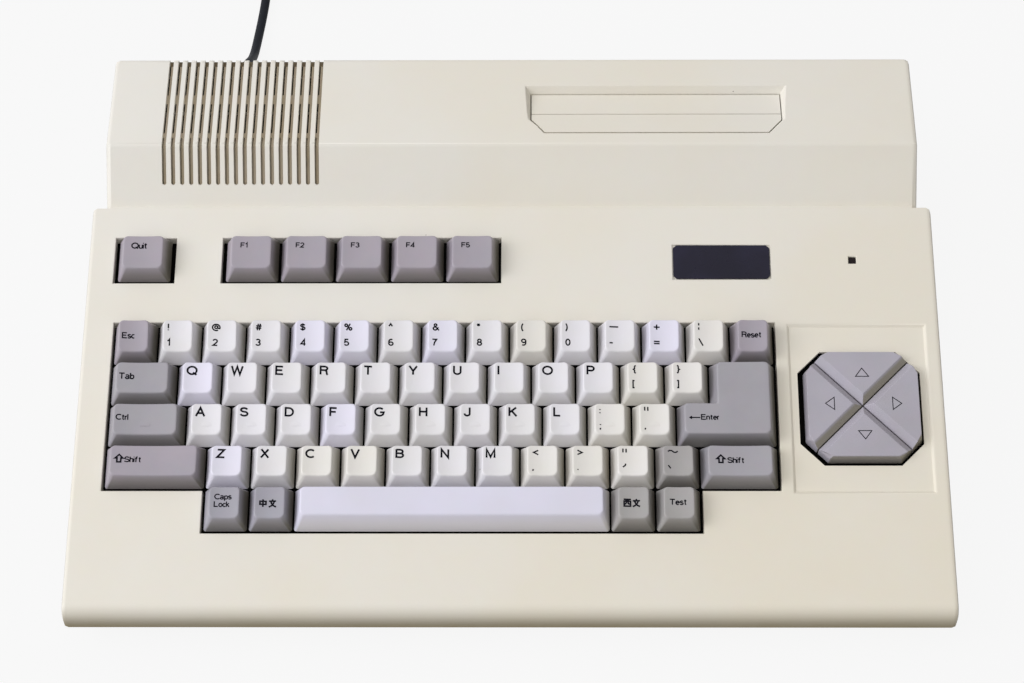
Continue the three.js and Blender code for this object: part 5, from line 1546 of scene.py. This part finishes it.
def makeJoystickPins(number):
    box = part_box(f"joystick_socket_{number}")
    low, high = (corner / metresPerMm for corner in map(Vector, box))
    inward, below = fittings["pinRoot"]
    x, y, z = high.x - inward, (low.y + high.y) / 2, high.z - below
    wide, tall, behind, before = fittings["insulator"]
    block = ((x - behind, y - wide, z - tall), (x + before, y + wide, z + tall))
    blocksPiece(f"joystick_{number}_insulator", [block], "black")
    for row, count in ((1, 5), (-1, 4)):
        for i in range(count):
            across = y + (i - (count - 1) / 2) * fittings["pinPitch"]
            place = (x, across, z + row * fittings["pinRow"])
            name = f"joystick_{number}_pin_{i + 1 if row > 0 else i + 6}"
            lathe(name, fittings["pin"], place, "brass", 10, (1, 0, 0))


# Bar and circle printed on the rocker, in the rocker's own frame
rocker = {
    "pivot": (142, 117.667, 27),
    "tilt": math.radians(9),
    "half": 1.3,  # of a mark's height
    "line": 0.45,
    "offset": 3.3,  # of a mark from the pivot
    "face": (2.75, 0.75, 6, 0.05),  # height over the pivot, added at the tips, reach, lift
}


def makeRockerMarks():
    c, k = math.cos(rocker["tilt"]), math.sin(rocker["tilt"])
    half = rocker["half"]
    circle = [math.radians(degrees) for degrees in range(0, 361, 20)]
    marks = [
        ("on", [(0, -half), (0, half)], 1),
        ("off", [(half * math.cos(a), half * math.sin(a)) for a in circle], -1),
    ]
    middle, added, reach, lift = rocker["face"]
    for name, line, way in marks:
        flat, faces = strokeMesh([line], rocker["line"])
        points = []
        for across, up in flat:
            z = way * rocker["offset"] + up
            y = middle + added * abs(z) / reach + lift
            offset = Vector((across, y * c - z * k, y * k + z * c))
            points.append(Vector(rocker["pivot"]) + offset)
        piece = makePiece(f"rocker_mark_{name}", points, faces, "whiteInk", smooth=False)
        mount(piece, "power_rocker")


def makeScrews():
    for number, (x, y) in enumerate(fittings["screws"], 1):
        place = (x, y, fittings["underside"])
        lathe(f"case_screw_{number}", fittings["screwHead"], place, "steel", 24, upward)
        # Painted shade: a black ring in each screw's well
        name = f"case_screw_well_shade_{number}"
        lathe(name, fittings["screwWell"], place, "darkness", 24, upward)


for name, x, insert in fittings["jacks"]:
    makeJack(name, x, insert)
makeRoundSocket()
makePrinterContacts()
for number in (1, 2):
    makeJoystickPins(number)
makeRockerMarks()
makeScrews()
print("sockets and screws made")


# Floor, light and sky
studio = {
    "lamps": [  # name, place in mm, aimed at, size in metres, watts, colour
        ("window", (-2000, -250, 1500), (0, 0, 20), 1.5, 29.5, (0.97, 0.98, 1.0)),
        ("front", (300, -1300, 1200), (0, 0, 20), 1.4, 2.2, (1.0, 0.98, 0.93)),
    ],
    "skyLeft": (0.97, 0.97, 1.03),
    "skyRight": (1.0, 0.98, 0.92),
    "skyLevel": 0.2,  # at the horizon
    "skyRise": 0.75,  # added overhead
    "skyLean": -0.42,  # added toward +X
    "skyLeast": 0.03,
    "floor": ("9a9a9a", "a2a2a2"),
    "floorCloud": 400,  # mm
    "floorReach": 3000,
    "floorWhite": 0.9,
}


def seenRays(tree):
    # 1 where the camera, a reflection or clear plastic looks straight at the background
    path = addNode(tree, "LightPath")
    larger = {"operation": "MAXIMUM"}
    links = {0: (path, "Is Camera Ray"), 1: (path, "Is Glossy Ray")}
    seen = addNode(tree, "Math", larger, links)
    return addNode(tree, "Math", larger, {0: (seen, 0), 1: (path, "Is Transmission Ray")})


def makeLamp(name, place, aim, size, watts, colour):
    lamp = bpy.data.lights.new(name, "AREA")
    lamp.shape = "DISK"
    lamp.size, lamp.energy, lamp.color = size, watts, colour
    holder = bpy.data.objects.new(name, lamp)
    bpy.context.collection.objects.link(holder)
    turn = (metres(aim) - metres(place)).to_track_quat("-Z", "Y").to_matrix().to_4x4()
    holder.matrix_world = Matrix.Translation(metres(place)) @ turn


def makeSky():
    # The camera sees white. The part sees a sky that is bright overhead and at the left
    world = bpy.data.worlds.new("studio")
    world.use_nodes = True
    tree = world.node_tree
    facing = addNode(tree, "TexCoord")
    split = addNode(tree, "SeparateXYZ", (), {"Vector": (facing, "Generated")})
    up = addNode(tree, "Math", {"operation": "MAXIMUM", 1: 0}, {0: (split, "Z")})
    settings = {"operation": "MULTIPLY_ADD", 1: studio["skyRise"], 2: studio["skyLevel"]}
    rise = addNode(tree, "Math", settings, {0: (up, "Value")})
    settings = {"operation": "MULTIPLY_ADD", 1: studio["skyLean"]}
    lean = addNode(tree, "Math", settings, {0: (split, "X"), 2: (rise, "Value")})
    settings = {"operation": "MAXIMUM", 1: studio["skyLeast"]}
    level = addNode(tree, "Math", settings, {0: (lean, "Value")})
    settings = {**softStep, "From Min": -1, "From Max": 1}
    side = addNode(tree, "MapRange", settings, {"Value": (split, "X")})
    settings = {**mixColours, 6: (*studio["skyLeft"], 1), 7: (*studio["skyRight"], 1)}
    tint = addNode(tree, "Mix", settings, {0: (side, "Result")})
    seen = seenRays(tree)
    settings = {**mixColours, 7: (1, 1, 1, 1)}
    shown = addNode(tree, "Mix", settings, {0: (seen, "Value"), 6: (tint, 2)})
    links = {"Value": (seen, "Value"), "To Min": (level, "Value")}
    strength = addNode(tree, "MapRange", {"From Min": 0, "From Max": 1, "To Max": 1}, links)
    background = tree.nodes["Background"]
    tree.links.new(shown.outputs[2], background.inputs["Color"])
    tree.links.new(strength.outputs["Result"], background.inputs["Strength"])
    bpy.context.scene.world = world


def makeFloor():
    # Takes shadows, and is nearly white where it is seen
    reach = studio["floorReach"]
    corners = [(x * reach, y * reach, 0) for x, y in ((-1, -1), (1, -1), (1, 1), (-1, 1))]
    floor = makePiece("floor", corners, [(0, 1, 2, 3)], "case", smooth=False)
    material, tree, shader, coordinates = newMaterial("white studio sweep")
    settings = {"Scale": 1000 / studio["floorCloud"]}
    cloud = addNode(tree, "TexNoise", settings, {"Vector": (coordinates, "Object")})
    dark, pale = (linear(colour) for colour in studio["floor"])
    base = addNode(tree, "Mix", {**mixColours, 6: dark, 7: pale}, {0: (cloud, "Fac")})
    tree.links.new(base.outputs[2], shader.inputs["Base Color"])
    shader.inputs["Roughness"].default_value = 0.7
    settings = {"operation": "MULTIPLY", 1: studio["floorWhite"]}
    share = addNode(tree, "Math", settings, {0: (seenRays(tree), 0)})
    glow = addNode(tree, "Emission", {"Color": (1, 1, 1, 1), "Strength": 1})
    links = {0: (share, 0), 1: (shader, "BSDF"), 2: (glow, "Emission")}
    both = addNode(tree, "MixShader", (), links)
    output = next(n for n in tree.nodes if n.bl_idname == "ShaderNodeOutputMaterial")
    tree.links.new(both.outputs[0], output.inputs["Surface"])
    floor.data.materials[0] = material


for lampSettings in studio["lamps"]:
    makeLamp(*lampSettings)
makeSky()
makeFloor()
bpy.context.scene.view_settings.view_transform = "Standard"
print("studio made")
